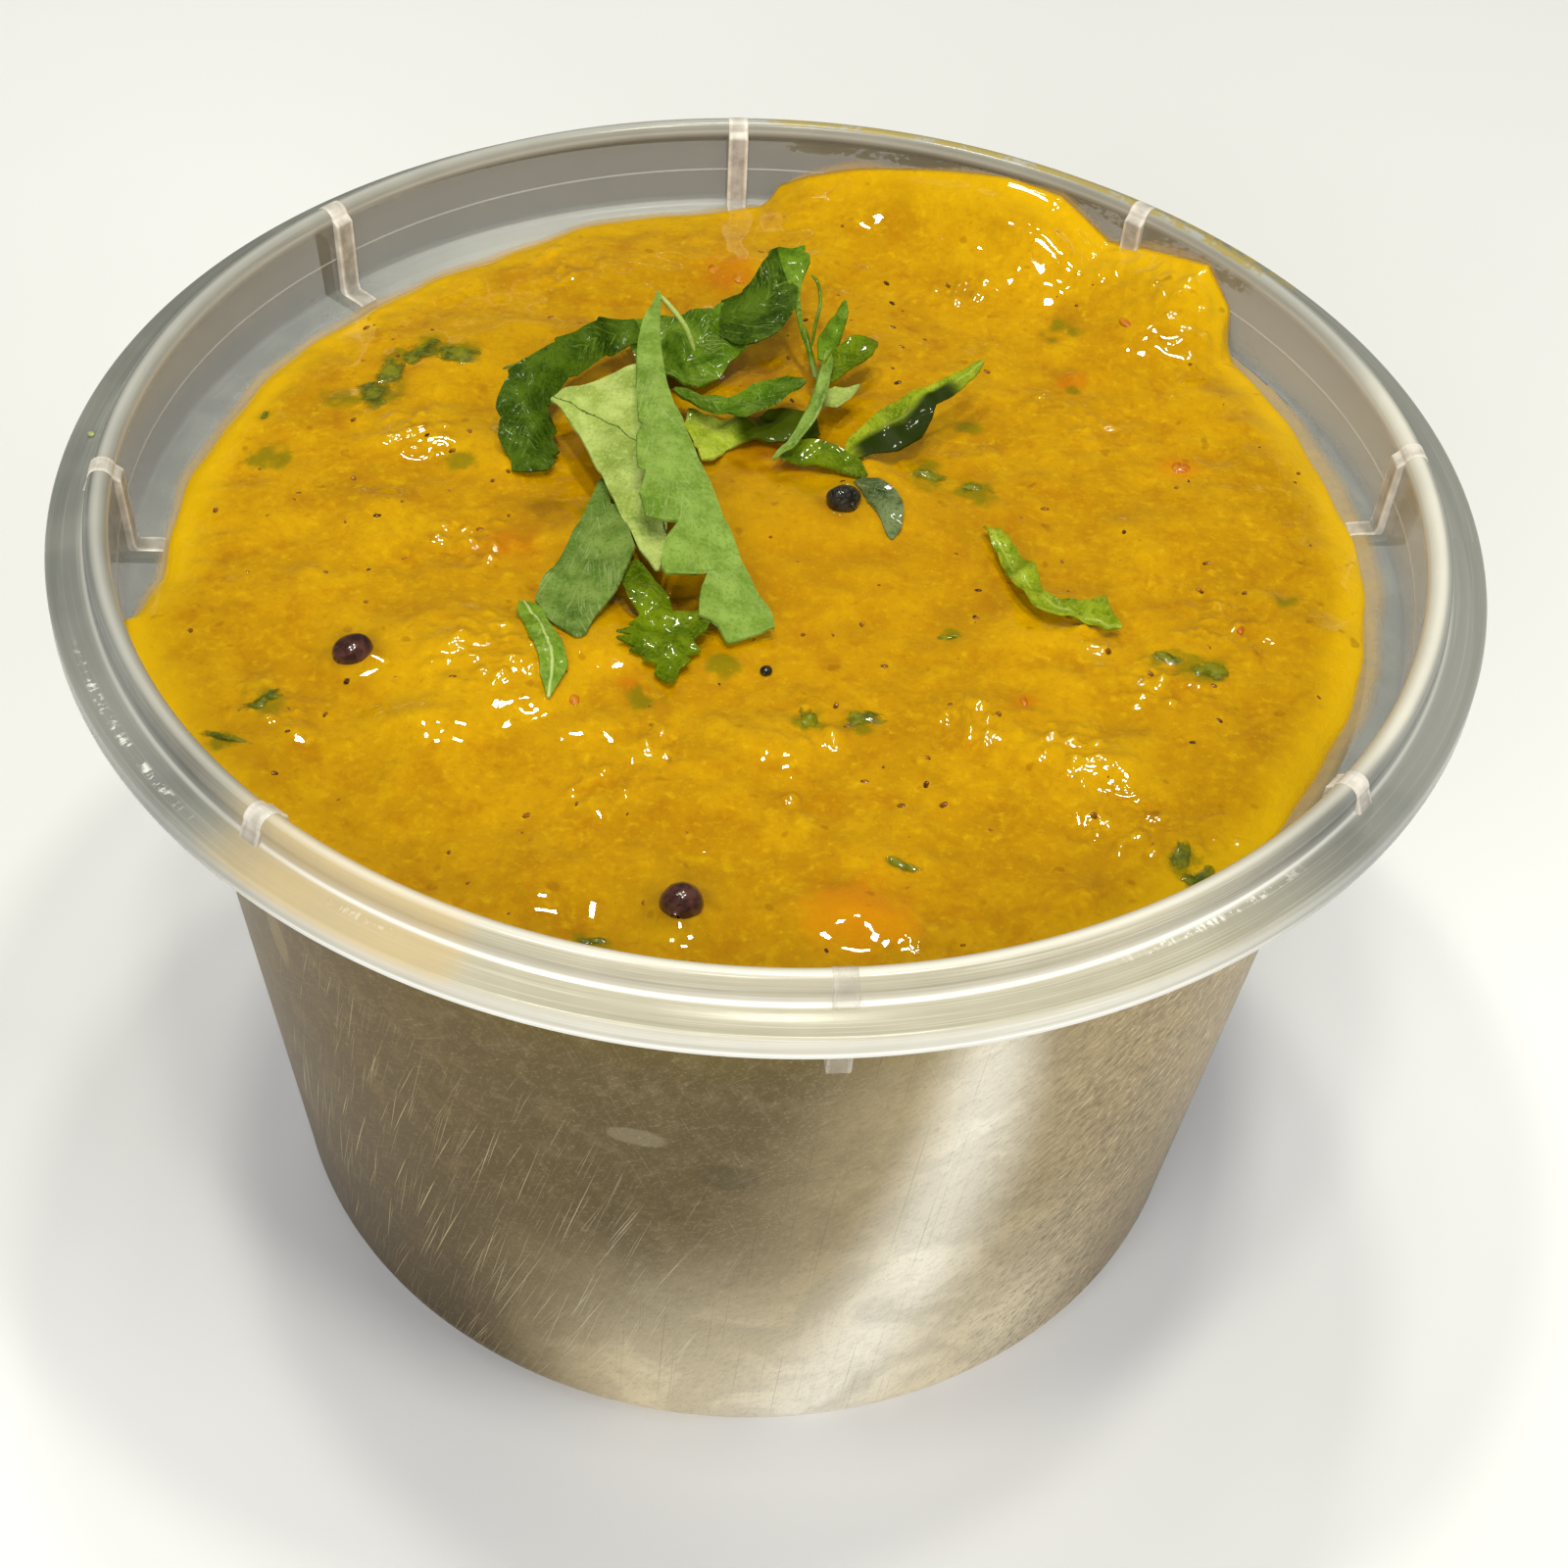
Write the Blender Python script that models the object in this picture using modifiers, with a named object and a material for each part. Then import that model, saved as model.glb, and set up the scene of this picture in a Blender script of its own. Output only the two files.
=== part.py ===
"""Dal in a translucent takeaway tub, nested in a steel cup, with shredded coriander on top.

Sizes are in millimetres and are handed to Blender in metres. The origin is the centre of
the cup's base, +Z is up, and the back of the bowl, where the dal climbs the wall, is +Y.
"""

import math

import bmesh
import bpy
import numpy as np
from mathutils import Matrix

MM = 0.001
SEGMENTS = 64  # steps round every turned piece
GAP = 0.3  # air between pieces that touch in the real bowl

# Steel cup: a straight taper from a rounded base to a plain rim.
CUP_BASE_ROUND = 3.8
CUP_FOOT_RADIUS = 44.1  # outside, where the base's rounding meets the wall
CUP_TAPER = 0.1155  # radius gained for each millimetre of height
CUP_WALL = 0.8
CUP_RIM_Z = 66.2

# Tub: a thin tapered body, a ledge that sits over the cup's rim, a short upright wall,
# a snap bead for a lid, and a flange with a turned-down skirt.
TUB_WALL = 0.75
TUB_FLOOR_Z = CUP_WALL + 0.4
TUB_SIDE_CLEARANCE = 0.45
TUB_FLOOR_ROUND = 4.0
LEDGE_Z = 67.9
LEDGE_INNER_RADIUS = 51.7
LEDGE_ROUND = 2.5
LEDGE_THICK = 0.8
NECK_FOOT_RADIUS = 53.95
NECK_TOP_RADIUS = 54.35
NECK_TOP_Z = 75.7
BEAD_TOP_Z = 76.55
BEAD_OUTER_RADIUS = 56.4
FLANGE_Z = 74.1
FLANGE_INNER_RADIUS = 57.2
FLANGE_OUTER_RADIUS = 59.6
FLANGE_THICK = 0.8
SKIRT_DROP = 2.05

# Ribs: eight fins that stiffen the neck from outside and run on under the ledge.
RIB_COUNT = 8
RIB_FIRST_ANGLE = 7.5  # degrees round from +X
RIB_THICK = 1.4
RIB_TOP_REACH = 57.3
RIB_FOOT_REACH = 56.3
RIB_FOOT_Z = 66.55
RIB_UNDER_LEDGE_RADIUS = 50.9

# Dal: thick, a little domed, lumpy, and pushed up the wall at the back right.
DAL_LEVEL = 68.5
DAL_DOME = 0.5
DAL_RINGS = 13
DAL_FREE_EDGE = 50.95  # where it stops short, on the ledge's rounded lip
DAL_WALL_EDGE = 55.0  # past the neck, so that the room trims it
DAL_FREE_EDGE_DROP = 0.35
DAL_COVERED_LEDGE_RISE = 0.6
LUMP_COUNT = 34
LUMP_HEIGHT = 0.75
LUMP_WIDTH = 3.4
CLIMB_START_RADIUS = 37.0
CLIMB_POWER = 1.7
# How far the dal stands above its level at the wall, round the bowl: degrees, millimetres.
CLIMB = [(37, 0), (41, 3.2), (44, 5.6), (50, 4.2), (56, 2.8), (62, 5.6), (68, 5.8),
         (76, 4.6), (84, 3.4), (89, 2.0), (94, 0)]
# Which stretches reach the neck wall: degrees, 0 for the ledge's lip and 1 for the wall.
REACH = [(34, 0), (40, 1), (92, 1), (98, 0), (191, 0), (197, 1), (298, 1), (306, 0)]

# Coriander: shreds that lie across each other, so each has its own lift over the dal.
LEAF_THICK = 0.35
LEAF_REST = 0.55  # middle of a shred above the dal that it lies on
ROWS_PER_SPAN = 2
LEAF_COLUMNS = 3
# Each shred is a row of stations: x, y, lift above the dal's level, width, and the tilt in
# degrees that raises its left edge, looking along the row.
SHREDS = {
    "leaf_long": [(-11.7, 24.0, 7.0, 0.8, 0), (-11.4, 15.1, 6.7, 2.8, 0),
                  (-9.7, 6.5, 5.9, 4.4, 0), (-7.7, -0.7, 4.6, 6.0, 0),
                  (-5.4, -7.1, 3.0, 6.8, 0), (-3.1, -10.4, 1.7, 5.6, 0),
                  (-1.2, -13.6, 0.9, 4.4, 0)],
    "leaf_pale": [(-16.7, 14.1, 4.3, 8.0, -8), (-13.9, 7.9, 3.9, 6.8, -8),
                  (-12.0, 1.9, 3.3, 5.4, -6), (-10.4, -2.7, 2.7, 3.6, 0),
                  (-9.2, -6.4, 2.0, 1.2, 0)],
    "leaf_left": [(-14.8, 2.4, 1.7, 1.2, 0), (-14.6, -2.2, 1.6, 4.2, 0),
                  (-15.2, -6.7, 1.4, 5.4, 0), (-15.8, -10.6, 1.1, 5.2, 0),
                  (-15.4, -14.0, 0.9, 2.2, 0)],
    "leaf_tip": [(-20.6, -10.9, 0.9, 1.2, 0), (-19.3, -14.2, 0.9, 2.4, 0),
                 (-17.9, -17.6, 0.8, 2.8, 0), (-17.2, -21.2, 0.8, 0.8, 0)],
    "leaf_lobed": [(-10.2, -8.2, 0.9, 1.4, 0), (-9.2, -10.6, 0.9, 3.8, 0),
                   (-8.2, -12.8, 0.9, 5.0, 0), (-7.5, -15.4, 0.8, 5.2, 0),
                   (-7.1, -18.4, 0.8, 1.0, 0)],
    "leaf_curl": [(-15.6, 21.8, 3.4, 3.4, -50), (-18.4, 20.0, 3.8, 3.6, -50),
                  (-21.4, 17.9, 3.8, 3.8, -45), (-23.4, 14.8, 3.3, 4.2, -30),
                  (-23.2, 11.6, 2.2, 4.8, -10), (-21.6, 8.2, 1.0, 4.6, 0),
                  (-21.0, 6.4, 0.8, 3.4, 0)],
    "leaf_back": [(-14.3, 23.0, 1.4, 5.0, -10), (-11.0, 24.2, 1.8, 6.8, -14),
                  (-7.7, 24.8, 2.2, 7.0, -14), (-4.8, 24.8, 2.4, 5.2, -14),
                  (-2.1, 26.4, 2.6, 3.0, -14)],
    "leaf_peak": [(-5.6, 29.0, 4.2, 3.0, -40), (-3.4, 30.0, 5.2, 3.6, -45),
                  (-1.7, 31.6, 6.1, 3.6, -35), (-0.3, 33.4, 6.5, 3.0, -20)],
    "leaf_hook": [(1.6, 31.7, 6.3, 2.8, 0), (1.7, 29.8, 5.5, 2.4, 0),
                  (1.9, 28.0, 4.3, 1.2, 0), (2.5, 25.6, 2.6, 0.9, 0)],
    "leaf_bow": [(-8.6, 19.2, 2.6, 1.2, -20), (-6.6, 17.6, 2.6, 2.2, -20),
                 (-4.1, 16.6, 2.7, 3.0, -20), (-1.2, 17.4, 3.0, 3.0, -20),
                 (1.0, 18.9, 3.3, 1.6, -20)],
    "leaf_under": [(-8.2, 13.6, 0.9, 2.8, 0), (-5.2, 13.4, 0.9, 4.0, 0),
                   (-1.3, 14.4, 0.9, 3.4, 0), (2.4, 15.4, 0.9, 1.6, 0)],
    "leaf_stem": [(3.4, 23.4, 3.4, 1.2, 20), (2.9, 18.6, 3.6, 1.6, 20),
                  (1.9, 13.9, 2.9, 1.6, 10), (0.7, 11.2, 2.2, 1.0, 0)],
    "leaflet_a": [(5.0, 22.2, 3.4, 1.4, 0), (5.3, 25.4, 3.9, 2.0, 0), (5.5, 29.2, 4.1, 0.8, 0)],
    "leaflet_b": [(6.6, 20.4, 2.7, 1.4, 0), (7.8, 22.4, 3.0, 2.6, 0), (9.4, 24.7, 3.2, 0.9, 0)],
    "leaflet_c": [(5.0, 16.6, 2.0, 1.2, 0), (6.3, 17.8, 2.1, 2.4, 0), (7.9, 18.9, 2.3, 0.8, 0)],
    "leaf_fold": [(7.4, 11.8, 1.7, 2.2, 40), (8.7, 13.4, 3.0, 2.8, 45),
                  (11.0, 15.4, 4.0, 3.2, 40), (14.0, 17.6, 4.5, 2.4, 25),
                  (17.2, 20.5, 4.8, 0.8, 10)],
    "leaf_step": [(0.2, 9.2, 0.9, 1.6, 0), (2.9, 9.6, 1.0, 2.2, 0), (5.4, 8.9, 1.0, 2.4, 0)],
    "leaf_wet": [(7.3, 8.4, 0.8, 1.2, 0), (9.2, 7.0, 0.8, 2.2, 0),
                 (10.5, 4.9, 0.8, 2.3, 0), (10.4, 1.9, 0.8, 0.8, 0)],
    "leaf_lone": [(19.0, 2.7, 0.8, 0.9, 0), (20.8, -2.1, 0.8, 2.2, 0),
                  (23.0, -6.0, 0.8, 2.2, 0), (26.2, -7.5, 0.8, 1.9, 0),
                  (29.4, -9.0, 0.8, 0.8, 0)],
}
DEEP_GREEN = (0.05, 0.17, 0.03)
FRESH_GREEN = (0.16, 0.37, 0.06)
PALE_GREEN = (0.38, 0.55, 0.22)
SHRED_COLOURS = {"leaf_pale": PALE_GREEN, "leaf_curl": DEEP_GREEN, "leaf_under": DEEP_GREEN,
                 "leaf_peak": DEEP_GREEN, "leaf_fold": DEEP_GREEN}


def clear_scene():
    """Remove every object that the file opened with."""
    for thing in list(bpy.data.objects):
        bpy.data.objects.remove(thing, do_unlink=True)


def new_collection(name):
    """A collection linked to the scene."""
    collection = bpy.data.collections.new(name)
    bpy.context.scene.collection.children.link(collection)
    return collection


def principled(name, colour, roughness, metallic=0.0):
    """A plain Principled material."""
    material = bpy.data.materials.new(name)
    material.use_nodes = True
    shader = material.node_tree.nodes["Principled BSDF"]
    shader.inputs["Base Color"].default_value = (*colour, 1.0)
    shader.inputs["Roughness"].default_value = roughness
    shader.inputs["Metallic"].default_value = metallic
    return material


def mesh_object(name, collection, points, edges=(), faces=(), material=None):
    """An object whose points are given in millimetres."""
    mesh = bpy.data.meshes.new(name)
    mesh.from_pydata((np.asarray(points, float) * MM).tolist(), edges, faces)
    mesh.update()
    thing = bpy.data.objects.new(name, mesh)
    collection.objects.link(thing)
    if material is not None:
        mesh.materials.append(material)
    return thing


def hide_helper(thing):
    """Keep a helper out of renders and draw it as wire."""
    thing.hide_render = True
    thing.display_type = "WIRE"


def arc(centre, radius, start, end, steps):
    """Points on a circle in the radius-height plane, from start to end in degrees."""
    angles = np.radians(np.linspace(start, end, steps + 1))
    return [(centre[0] + radius * math.cos(a), centre[1] + radius * math.sin(a)) for a in angles]


def turned(name, profile, collection, material=None):
    """A closed solid turned round Z from a profile that starts and ends on the axis."""
    points = [(r, 0.0, z) for r, z in profile]
    edges = [(i, i + 1) for i in range(len(points) - 1)]
    thing = mesh_object(name, collection, points, edges=edges, material=material)
    screw = thing.modifiers.new("Turn", "SCREW")
    screw.axis = "Z"
    screw.steps = SEGMENTS
    screw.render_steps = SEGMENTS
    screw.use_merge_vertices = True
    screw.merge_threshold = 0.00001
    screw.use_smooth_shade = True
    return thing


def cup_outer_radius(z):
    """Outside radius of the steel cup's tapered wall."""
    return CUP_FOOT_RADIUS + CUP_TAPER * (z - CUP_BASE_ROUND)


def tub_inner_radius(z):
    """Inside radius of the tub's tapered body, which follows the cup."""
    return cup_outer_radius(z) - CUP_WALL - TUB_SIDE_CLEARANCE - TUB_WALL


def cup_profile():
    """The cup from the middle of its floor, up the inside, over the rim and down to the base."""
    foot = CUP_BASE_ROUND
    inner_round = foot - CUP_WALL
    foot_centre = (CUP_FOOT_RADIUS - foot, foot)
    half = CUP_WALL / 2
    rim_middle = (cup_outer_radius(CUP_RIM_Z) - half, CUP_RIM_Z - half)
    profile = [(0.0, CUP_WALL)]
    profile += arc(foot_centre, inner_round, -90, 0, 2)
    profile += arc(rim_middle, half, 180, 0, 2)
    profile += arc(foot_centre, foot, 0, -90, 3)
    profile += [(0.0, 0.0)]
    return profile


def tub_inside():
    """The tub's inside, from the middle of the floor up to the snap bead."""
    floor = TUB_FLOOR_Z + TUB_WALL
    corner = (tub_inner_radius(floor + TUB_FLOOR_ROUND) - TUB_FLOOR_ROUND, floor + TUB_FLOOR_ROUND)
    lip = (LEDGE_INNER_RADIUS, LEDGE_Z - LEDGE_ROUND)
    inside = [(0.0, floor)]
    inside += arc(corner, TUB_FLOOR_ROUND, -90, 0, 2)
    inside += arc(lip, LEDGE_ROUND, 180, 90, 3)
    inside += [(NECK_FOOT_RADIUS - 0.3, LEDGE_Z), (NECK_FOOT_RADIUS, LEDGE_Z + 0.3)]
    inside += [(NECK_TOP_RADIUS, NECK_TOP_Z)]
    return inside


def tub_profile():
    """The whole wall: up the inside, over the bead, along the flange, round the skirt and down."""
    bead_radius = (BEAD_OUTER_RADIUS - NECK_TOP_RADIUS) / 2
    bead_centre = (NECK_TOP_RADIUS + bead_radius, BEAD_TOP_Z - bead_radius)
    flange_under = FLANGE_Z - FLANGE_THICK
    skirt_foot = FLANGE_Z - SKIRT_DROP
    skirt_inner = FLANGE_OUTER_RADIUS - FLANGE_THICK
    ledge_under = LEDGE_Z - LEDGE_THICK
    body_top = CUP_RIM_Z - 0.4
    outer_top = tub_inner_radius(body_top) + TUB_WALL
    floor_corner_z = TUB_FLOOR_Z + TUB_FLOOR_ROUND + TUB_WALL
    outer_round = TUB_FLOOR_ROUND + TUB_WALL
    corner = (tub_inner_radius(floor_corner_z) + TUB_WALL - outer_round, floor_corner_z)
    profile = tub_inside()
    profile += arc(bead_centre, bead_radius, 150, 0, 3)
    profile += [(FLANGE_INNER_RADIUS, FLANGE_Z + 0.25)]
    profile += [(FLANGE_OUTER_RADIUS - 0.6, FLANGE_Z), (FLANGE_OUTER_RADIUS, FLANGE_Z - 0.6)]
    profile += [(FLANGE_OUTER_RADIUS, skirt_foot), (skirt_inner, skirt_foot)]
    profile += [(skirt_inner, flange_under), (NECK_TOP_RADIUS + TUB_WALL, flange_under)]
    profile += [(NECK_FOOT_RADIUS + TUB_WALL, ledge_under), (outer_top + 1.4, ledge_under)]
    profile += [(outer_top, body_top)]
    profile += arc(corner, outer_round, 0, -90, 2)
    profile += [(0.0, TUB_FLOOR_Z)]
    return profile


def tub_ribs(collection):
    """Eight fins outside the neck, each running on as a bar under the ledge."""
    buried = 0.4
    top = FLANGE_Z - FLANGE_THICK + buried
    outline = [(NECK_TOP_RADIUS + buried, top), (RIB_TOP_REACH, top),
               (RIB_FOOT_REACH, RIB_FOOT_Z), (RIB_UNDER_LEDGE_RADIUS, RIB_FOOT_Z),
               (RIB_UNDER_LEDGE_RADIUS, LEDGE_Z - LEDGE_THICK + buried),
               (NECK_FOOT_RADIUS + buried, LEDGE_Z - LEDGE_THICK + buried)]
    shape = bmesh.new()
    for number in range(RIB_COUNT):
        angle = math.radians(RIB_FIRST_ANGLE + number * 360 / RIB_COUNT)
        turn = Matrix.Rotation(angle, 4, "Z")
        corners = [turn @ Matrix.Translation((r * MM, -RIB_THICK / 2 * MM, z * MM)) for r, z in outline]
        face = shape.faces.new([shape.verts.new(place.translation) for place in corners])
        side = bmesh.ops.extrude_face_region(shape, geom=[face])["geom"]
        moved = [part for part in side if isinstance(part, bmesh.types.BMVert)]
        across = turn @ Matrix.Translation((0, RIB_THICK * MM, 0))
        bmesh.ops.translate(shape, verts=moved, vec=across.translation)
    bmesh.ops.recalc_face_normals(shape, faces=shape.faces)
    mesh = bpy.data.meshes.new("tub_ribs")
    shape.to_mesh(mesh)
    shape.free()
    ribs = bpy.data.objects.new("tub_ribs", mesh)
    collection.objects.link(ribs)
    hide_helper(ribs)
    return ribs


def join_by(thing, other, operation, name):
    """Give a piece an exact Boolean with another."""
    boolean = thing.modifiers.new(name, "BOOLEAN")
    boolean.operation = operation
    boolean.solver = "EXACT"
    boolean.object = other


def round_the_bowl(table, degrees):
    """Read a table of (degrees, value) pairs at any angle, joining its end to its start."""
    angles, values = np.array(table, float).T
    return np.interp(degrees, angles, values, period=360)


def smooth(share):
    """0 to 1 with no corner at either end."""
    share = np.clip(share, 0, 1)
    return share * share * (3 - 2 * share)


def dal_lumps(x, y):
    """Rounded lumps on a sunflower spread, of uneven height and width."""
    number = np.arange(LUMP_COUNT)
    angle = number * math.radians(137.5)
    radius = 48.0 * np.sqrt((number + 0.5) / LUMP_COUNT)
    height = LUMP_HEIGHT * (0.55 + 0.45 * np.sin(number * 2.3))
    width = LUMP_WIDTH * (1.0 + 0.35 * np.cos(number * 1.7))
    from_x = np.asarray(x)[..., None] - radius * np.cos(angle)
    from_y = np.asarray(y)[..., None] - radius * np.sin(angle)
    return (height * np.exp(-(from_x**2 + from_y**2) / (2 * width**2))).sum(-1)


def dal_top(x, y):
    """Height of the dal's surface: a low dome, lumps, the climb at the back right, and the edge."""
    radius = np.hypot(x, y)
    degrees = np.degrees(np.arctan2(y, x)) % 360
    level = DAL_LEVEL + DAL_DOME * (1 - (radius / DAL_FREE_EDGE) ** 2) + dal_lumps(x, y)
    climb_share = (radius - CLIMB_START_RADIUS) / (NECK_FOOT_RADIUS - CLIMB_START_RADIUS)
    climb = round_the_bowl(CLIMB, degrees) * np.clip(climb_share, 0, 1) ** CLIMB_POWER
    near_edge = smooth((radius - 46.0) / 5.0)
    reach = round_the_bowl(REACH, degrees)
    return level + climb + near_edge * (DAL_COVERED_LEDGE_RISE * reach - DAL_FREE_EDGE_DROP * (1 - reach))


def dal_block(collection, material):
    """A polar grid of the surface out to the dal's edge, with straight sides and a flat bottom."""
    turn = np.arange(SEGMENTS) * 2 * math.pi / SEGMENTS
    reach = round_the_bowl(REACH, np.degrees(turn))
    edge = DAL_FREE_EDGE + (DAL_WALL_EDGE - DAL_FREE_EDGE) * reach
    share = (np.arange(1, DAL_RINGS + 1) / DAL_RINGS)[:, None]
    x = (share * edge * np.cos(turn)).ravel()
    y = (share * edge * np.sin(turn)).ravel()
    rings = np.column_stack([x, y, dal_top(x, y)])
    foot = rings[-SEGMENTS:] * (1, 1, 0)
    middle_top = len(rings) + SEGMENTS
    points = np.vstack([rings, foot, (0, 0, dal_top(0.0, 0.0)), (0, 0, 0)])
    here = np.arange(SEGMENTS)
    after = (here + 1) % SEGMENTS
    faces = [(middle_top, a, b) for a, b in zip(here, after)]
    for ring in range(DAL_RINGS):
        inner, outer = ring * SEGMENTS, (ring + 1) * SEGMENTS
        faces += [(inner + a, outer + a, outer + b, inner + b) for a, b in zip(here, after)]
    last = DAL_RINGS * SEGMENTS
    faces += [(last + b, last + a, middle_top + 1) for a, b in zip(here, after)]
    faces = [tuple(int(corner) for corner in face) for face in faces]
    return mesh_object("dal", collection, points, faces=faces, material=material)


def dal_room(collection):
    """The space inside the tub, a gap clear of its wall, closed above the rim."""
    cover_z = BEAD_TOP_Z + 4.0
    wall = [(max(r - GAP, 0.0), z + GAP) for r, z in reversed(tub_inside())]
    profile = [(0.0, cover_z), (wall[0][0], cover_z)] + wall
    room = turned("dal_room", profile, collection)
    hide_helper(room)
    return room


def along(stations, rows):
    """A Catmull-Rom curve through the stations, sampled at evenly spaced rows."""
    knots = np.array(stations, float)
    knots = np.vstack([2 * knots[0] - knots[1], knots, 2 * knots[-1] - knots[-2]])
    place = np.linspace(0, len(stations) - 1, rows)
    span = np.minimum(place.astype(int), len(stations) - 2)
    t = (place - span)[:, None]
    a, b, c, d = (knots[span + step] for step in range(4))
    return 0.5 * (2 * b + (c - a) * t + (2 * a - 5 * b + 4 * c - d) * t**2 + (3 * b - a - 3 * c + d) * t**3)


def shred(name, stations, collection, material):
    """A thin bent strip: a row of cross lines, each tilted, kept off the dal and given a thickness."""
    rows = ROWS_PER_SPAN * (len(stations) - 1) + 1
    x, y, lift, width, tilt = along(stations, rows).T
    run = np.column_stack([np.gradient(x), np.gradient(y)])
    run /= np.linalg.norm(run, axis=1)[:, None]
    tilt = np.radians(tilt)
    side = np.column_stack([-run[:, 1] * np.cos(tilt), run[:, 0] * np.cos(tilt), np.sin(tilt)])
    across = np.linspace(0.5, -0.5, LEAF_COLUMNS)
    middle = np.column_stack([x, y, DAL_LEVEL + DAL_DOME + lift])
    grid = middle[:, None] + across[None, :, None] * width[:, None, None] * side[:, None]
    lowest = dal_top(grid[..., 0], grid[..., 1]) + LEAF_REST
    grid[..., 2] = np.maximum(grid[..., 2], lowest)
    corner = np.arange(rows * LEAF_COLUMNS).reshape(rows, LEAF_COLUMNS)
    quads = np.stack([corner[:-1, :-1], corner[1:, :-1], corner[1:, 1:], corner[:-1, 1:]], -1)
    leaf = mesh_object(name, collection, grid.reshape(-1, 3),
                       faces=quads.reshape(-1, 4).tolist(), material=material)
    wall = leaf.modifiers.new("Thickness", "SOLIDIFY")
    wall.thickness = LEAF_THICK * MM
    wall.offset = 0.0
    return leaf


def build():
    """Make every piece of the bowl."""
    clear_scene()
    bowl = new_collection("dal_tadka")
    helpers = new_collection("helpers")
    steel = principled("brushed_steel", (0.42, 0.40, 0.34), 0.32, metallic=1.0)
    plastic = principled("tub_plastic", (0.72, 0.72, 0.68), 0.25)
    paste = principled("dal", (0.70, 0.36, 0.01), 0.22)
    turned("steel_cup", cup_profile(), bowl, steel)
    tub = turned("tub", tub_profile(), bowl, plastic)
    join_by(tub, tub_ribs(helpers), "UNION", "Ribs")
    dal = dal_block(bowl, paste)
    join_by(dal, dal_room(helpers), "INTERSECT", "Fill the tub")
    for name, stations in SHREDS.items():
        green = principled(name, SHRED_COLOURS.get(name, FRESH_GREEN), 0.45)
        shred(name, stations, bowl, green)


build()
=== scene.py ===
# %% [markdown]
# # Dal tadka in a takeaway tub, nested in a steel cup
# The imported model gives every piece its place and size. This lesson makes the surfaces that
# are seen: a brushed steel cup, a cloudy plastic tub, thick golden dal with its lumps and
# shine, and a heap of shredded coriander. The first step loads the frame, because all the
# other steps measure themselves against it.

import math

import bpy
import numpy as np
from mathutils import Matrix, Vector


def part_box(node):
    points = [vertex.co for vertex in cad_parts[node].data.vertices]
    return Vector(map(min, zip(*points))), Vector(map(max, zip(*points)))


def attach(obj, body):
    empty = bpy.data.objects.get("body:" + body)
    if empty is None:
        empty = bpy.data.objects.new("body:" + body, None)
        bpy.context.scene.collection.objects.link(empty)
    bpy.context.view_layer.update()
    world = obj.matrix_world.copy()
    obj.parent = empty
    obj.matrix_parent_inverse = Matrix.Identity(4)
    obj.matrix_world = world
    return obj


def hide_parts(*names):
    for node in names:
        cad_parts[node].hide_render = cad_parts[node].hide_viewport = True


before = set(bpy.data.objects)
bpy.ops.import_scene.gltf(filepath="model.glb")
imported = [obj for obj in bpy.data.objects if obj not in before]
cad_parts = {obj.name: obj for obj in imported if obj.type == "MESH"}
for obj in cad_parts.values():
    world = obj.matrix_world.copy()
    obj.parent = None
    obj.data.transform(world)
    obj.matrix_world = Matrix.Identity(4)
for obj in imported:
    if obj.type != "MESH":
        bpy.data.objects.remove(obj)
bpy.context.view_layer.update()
MM = 0.001


# %% [markdown]
# ## Meshes from arrays
# Every new piece is a surface worked out with numpy. A turned shape is a profile carried round
# Z, a leaf is a strip carried along a path, and the dal is a square sheet wrapped into a disc.
# They all end as points and faces, so one function puts arrays into a mesh. The signed volume
# tells whether a closed shape came out inside out, and its faces are then flipped.

# %% Put arrays into a mesh
def signed_volume(points, faces):
    """Six times the volume is the sum of a . (b x c) over the fan triangles of all faces."""
    total = 0.0
    for group in faces:
        for step in range(1, group.shape[1] - 1):
            a, b, c = points[group[:, 0]], points[group[:, step]], points[group[:, step + 1]]
            total += np.einsum("ij,ij->", a, np.cross(b, c))
    return total / 6


def put_mesh(name, points, *faces, closed=True):
    """An object at the origin from points in millimetres and arrays with one row for each face."""
    points = np.asarray(points, float)
    if closed and signed_volume(points, faces) < 0:
        faces = [group[:, ::-1] for group in faces]
    corners = np.concatenate([group.ravel() for group in faces]).astype(np.int32)
    sizes = np.concatenate([np.full(len(group), group.shape[1]) for group in faces])
    starts = np.concatenate([[0], np.cumsum(sizes)[:-1]]).astype(np.int32)
    mesh = bpy.data.meshes.new(name)
    mesh.vertices.add(len(points))
    mesh.vertices.foreach_set("co", (points * MM).astype(np.float32).ravel())
    mesh.loops.add(len(corners))
    mesh.polygons.add(len(sizes))
    mesh.polygons.foreach_set("loop_start", starts)
    mesh.polygons.foreach_set("vertices", corners)
    mesh.update(calc_edges=True)
    mesh.validate()
    mesh.shade_smooth()
    thing = bpy.data.objects.new(name, mesh)
    bpy.context.scene.collection.objects.link(thing)
    print(f"{name}: {len(points)} points, {int((sizes - 2).sum())} triangles")
    return thing


def paint(thing, name, values):
    """One number for each point, which the piece's material reads by name."""
    layer = thing.data.attributes.new(name, "FLOAT", "POINT")
    layer.data.foreach_set("value", np.asarray(values, np.float32).ravel())


def grid_faces(rows, columns, wrap=False):
    """Four corners for each cell of a grid of points; with wrap the last column meets the first."""
    corner = np.arange(rows * columns).reshape(rows, columns)
    after = np.roll(corner, -1, axis=1) if wrap else corner[:, 1:]
    here = corner if wrap else corner[:, :-1]
    return np.stack([here[:-1], after[:-1], after[1:], here[1:]], -1).reshape(-1, 4)


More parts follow.
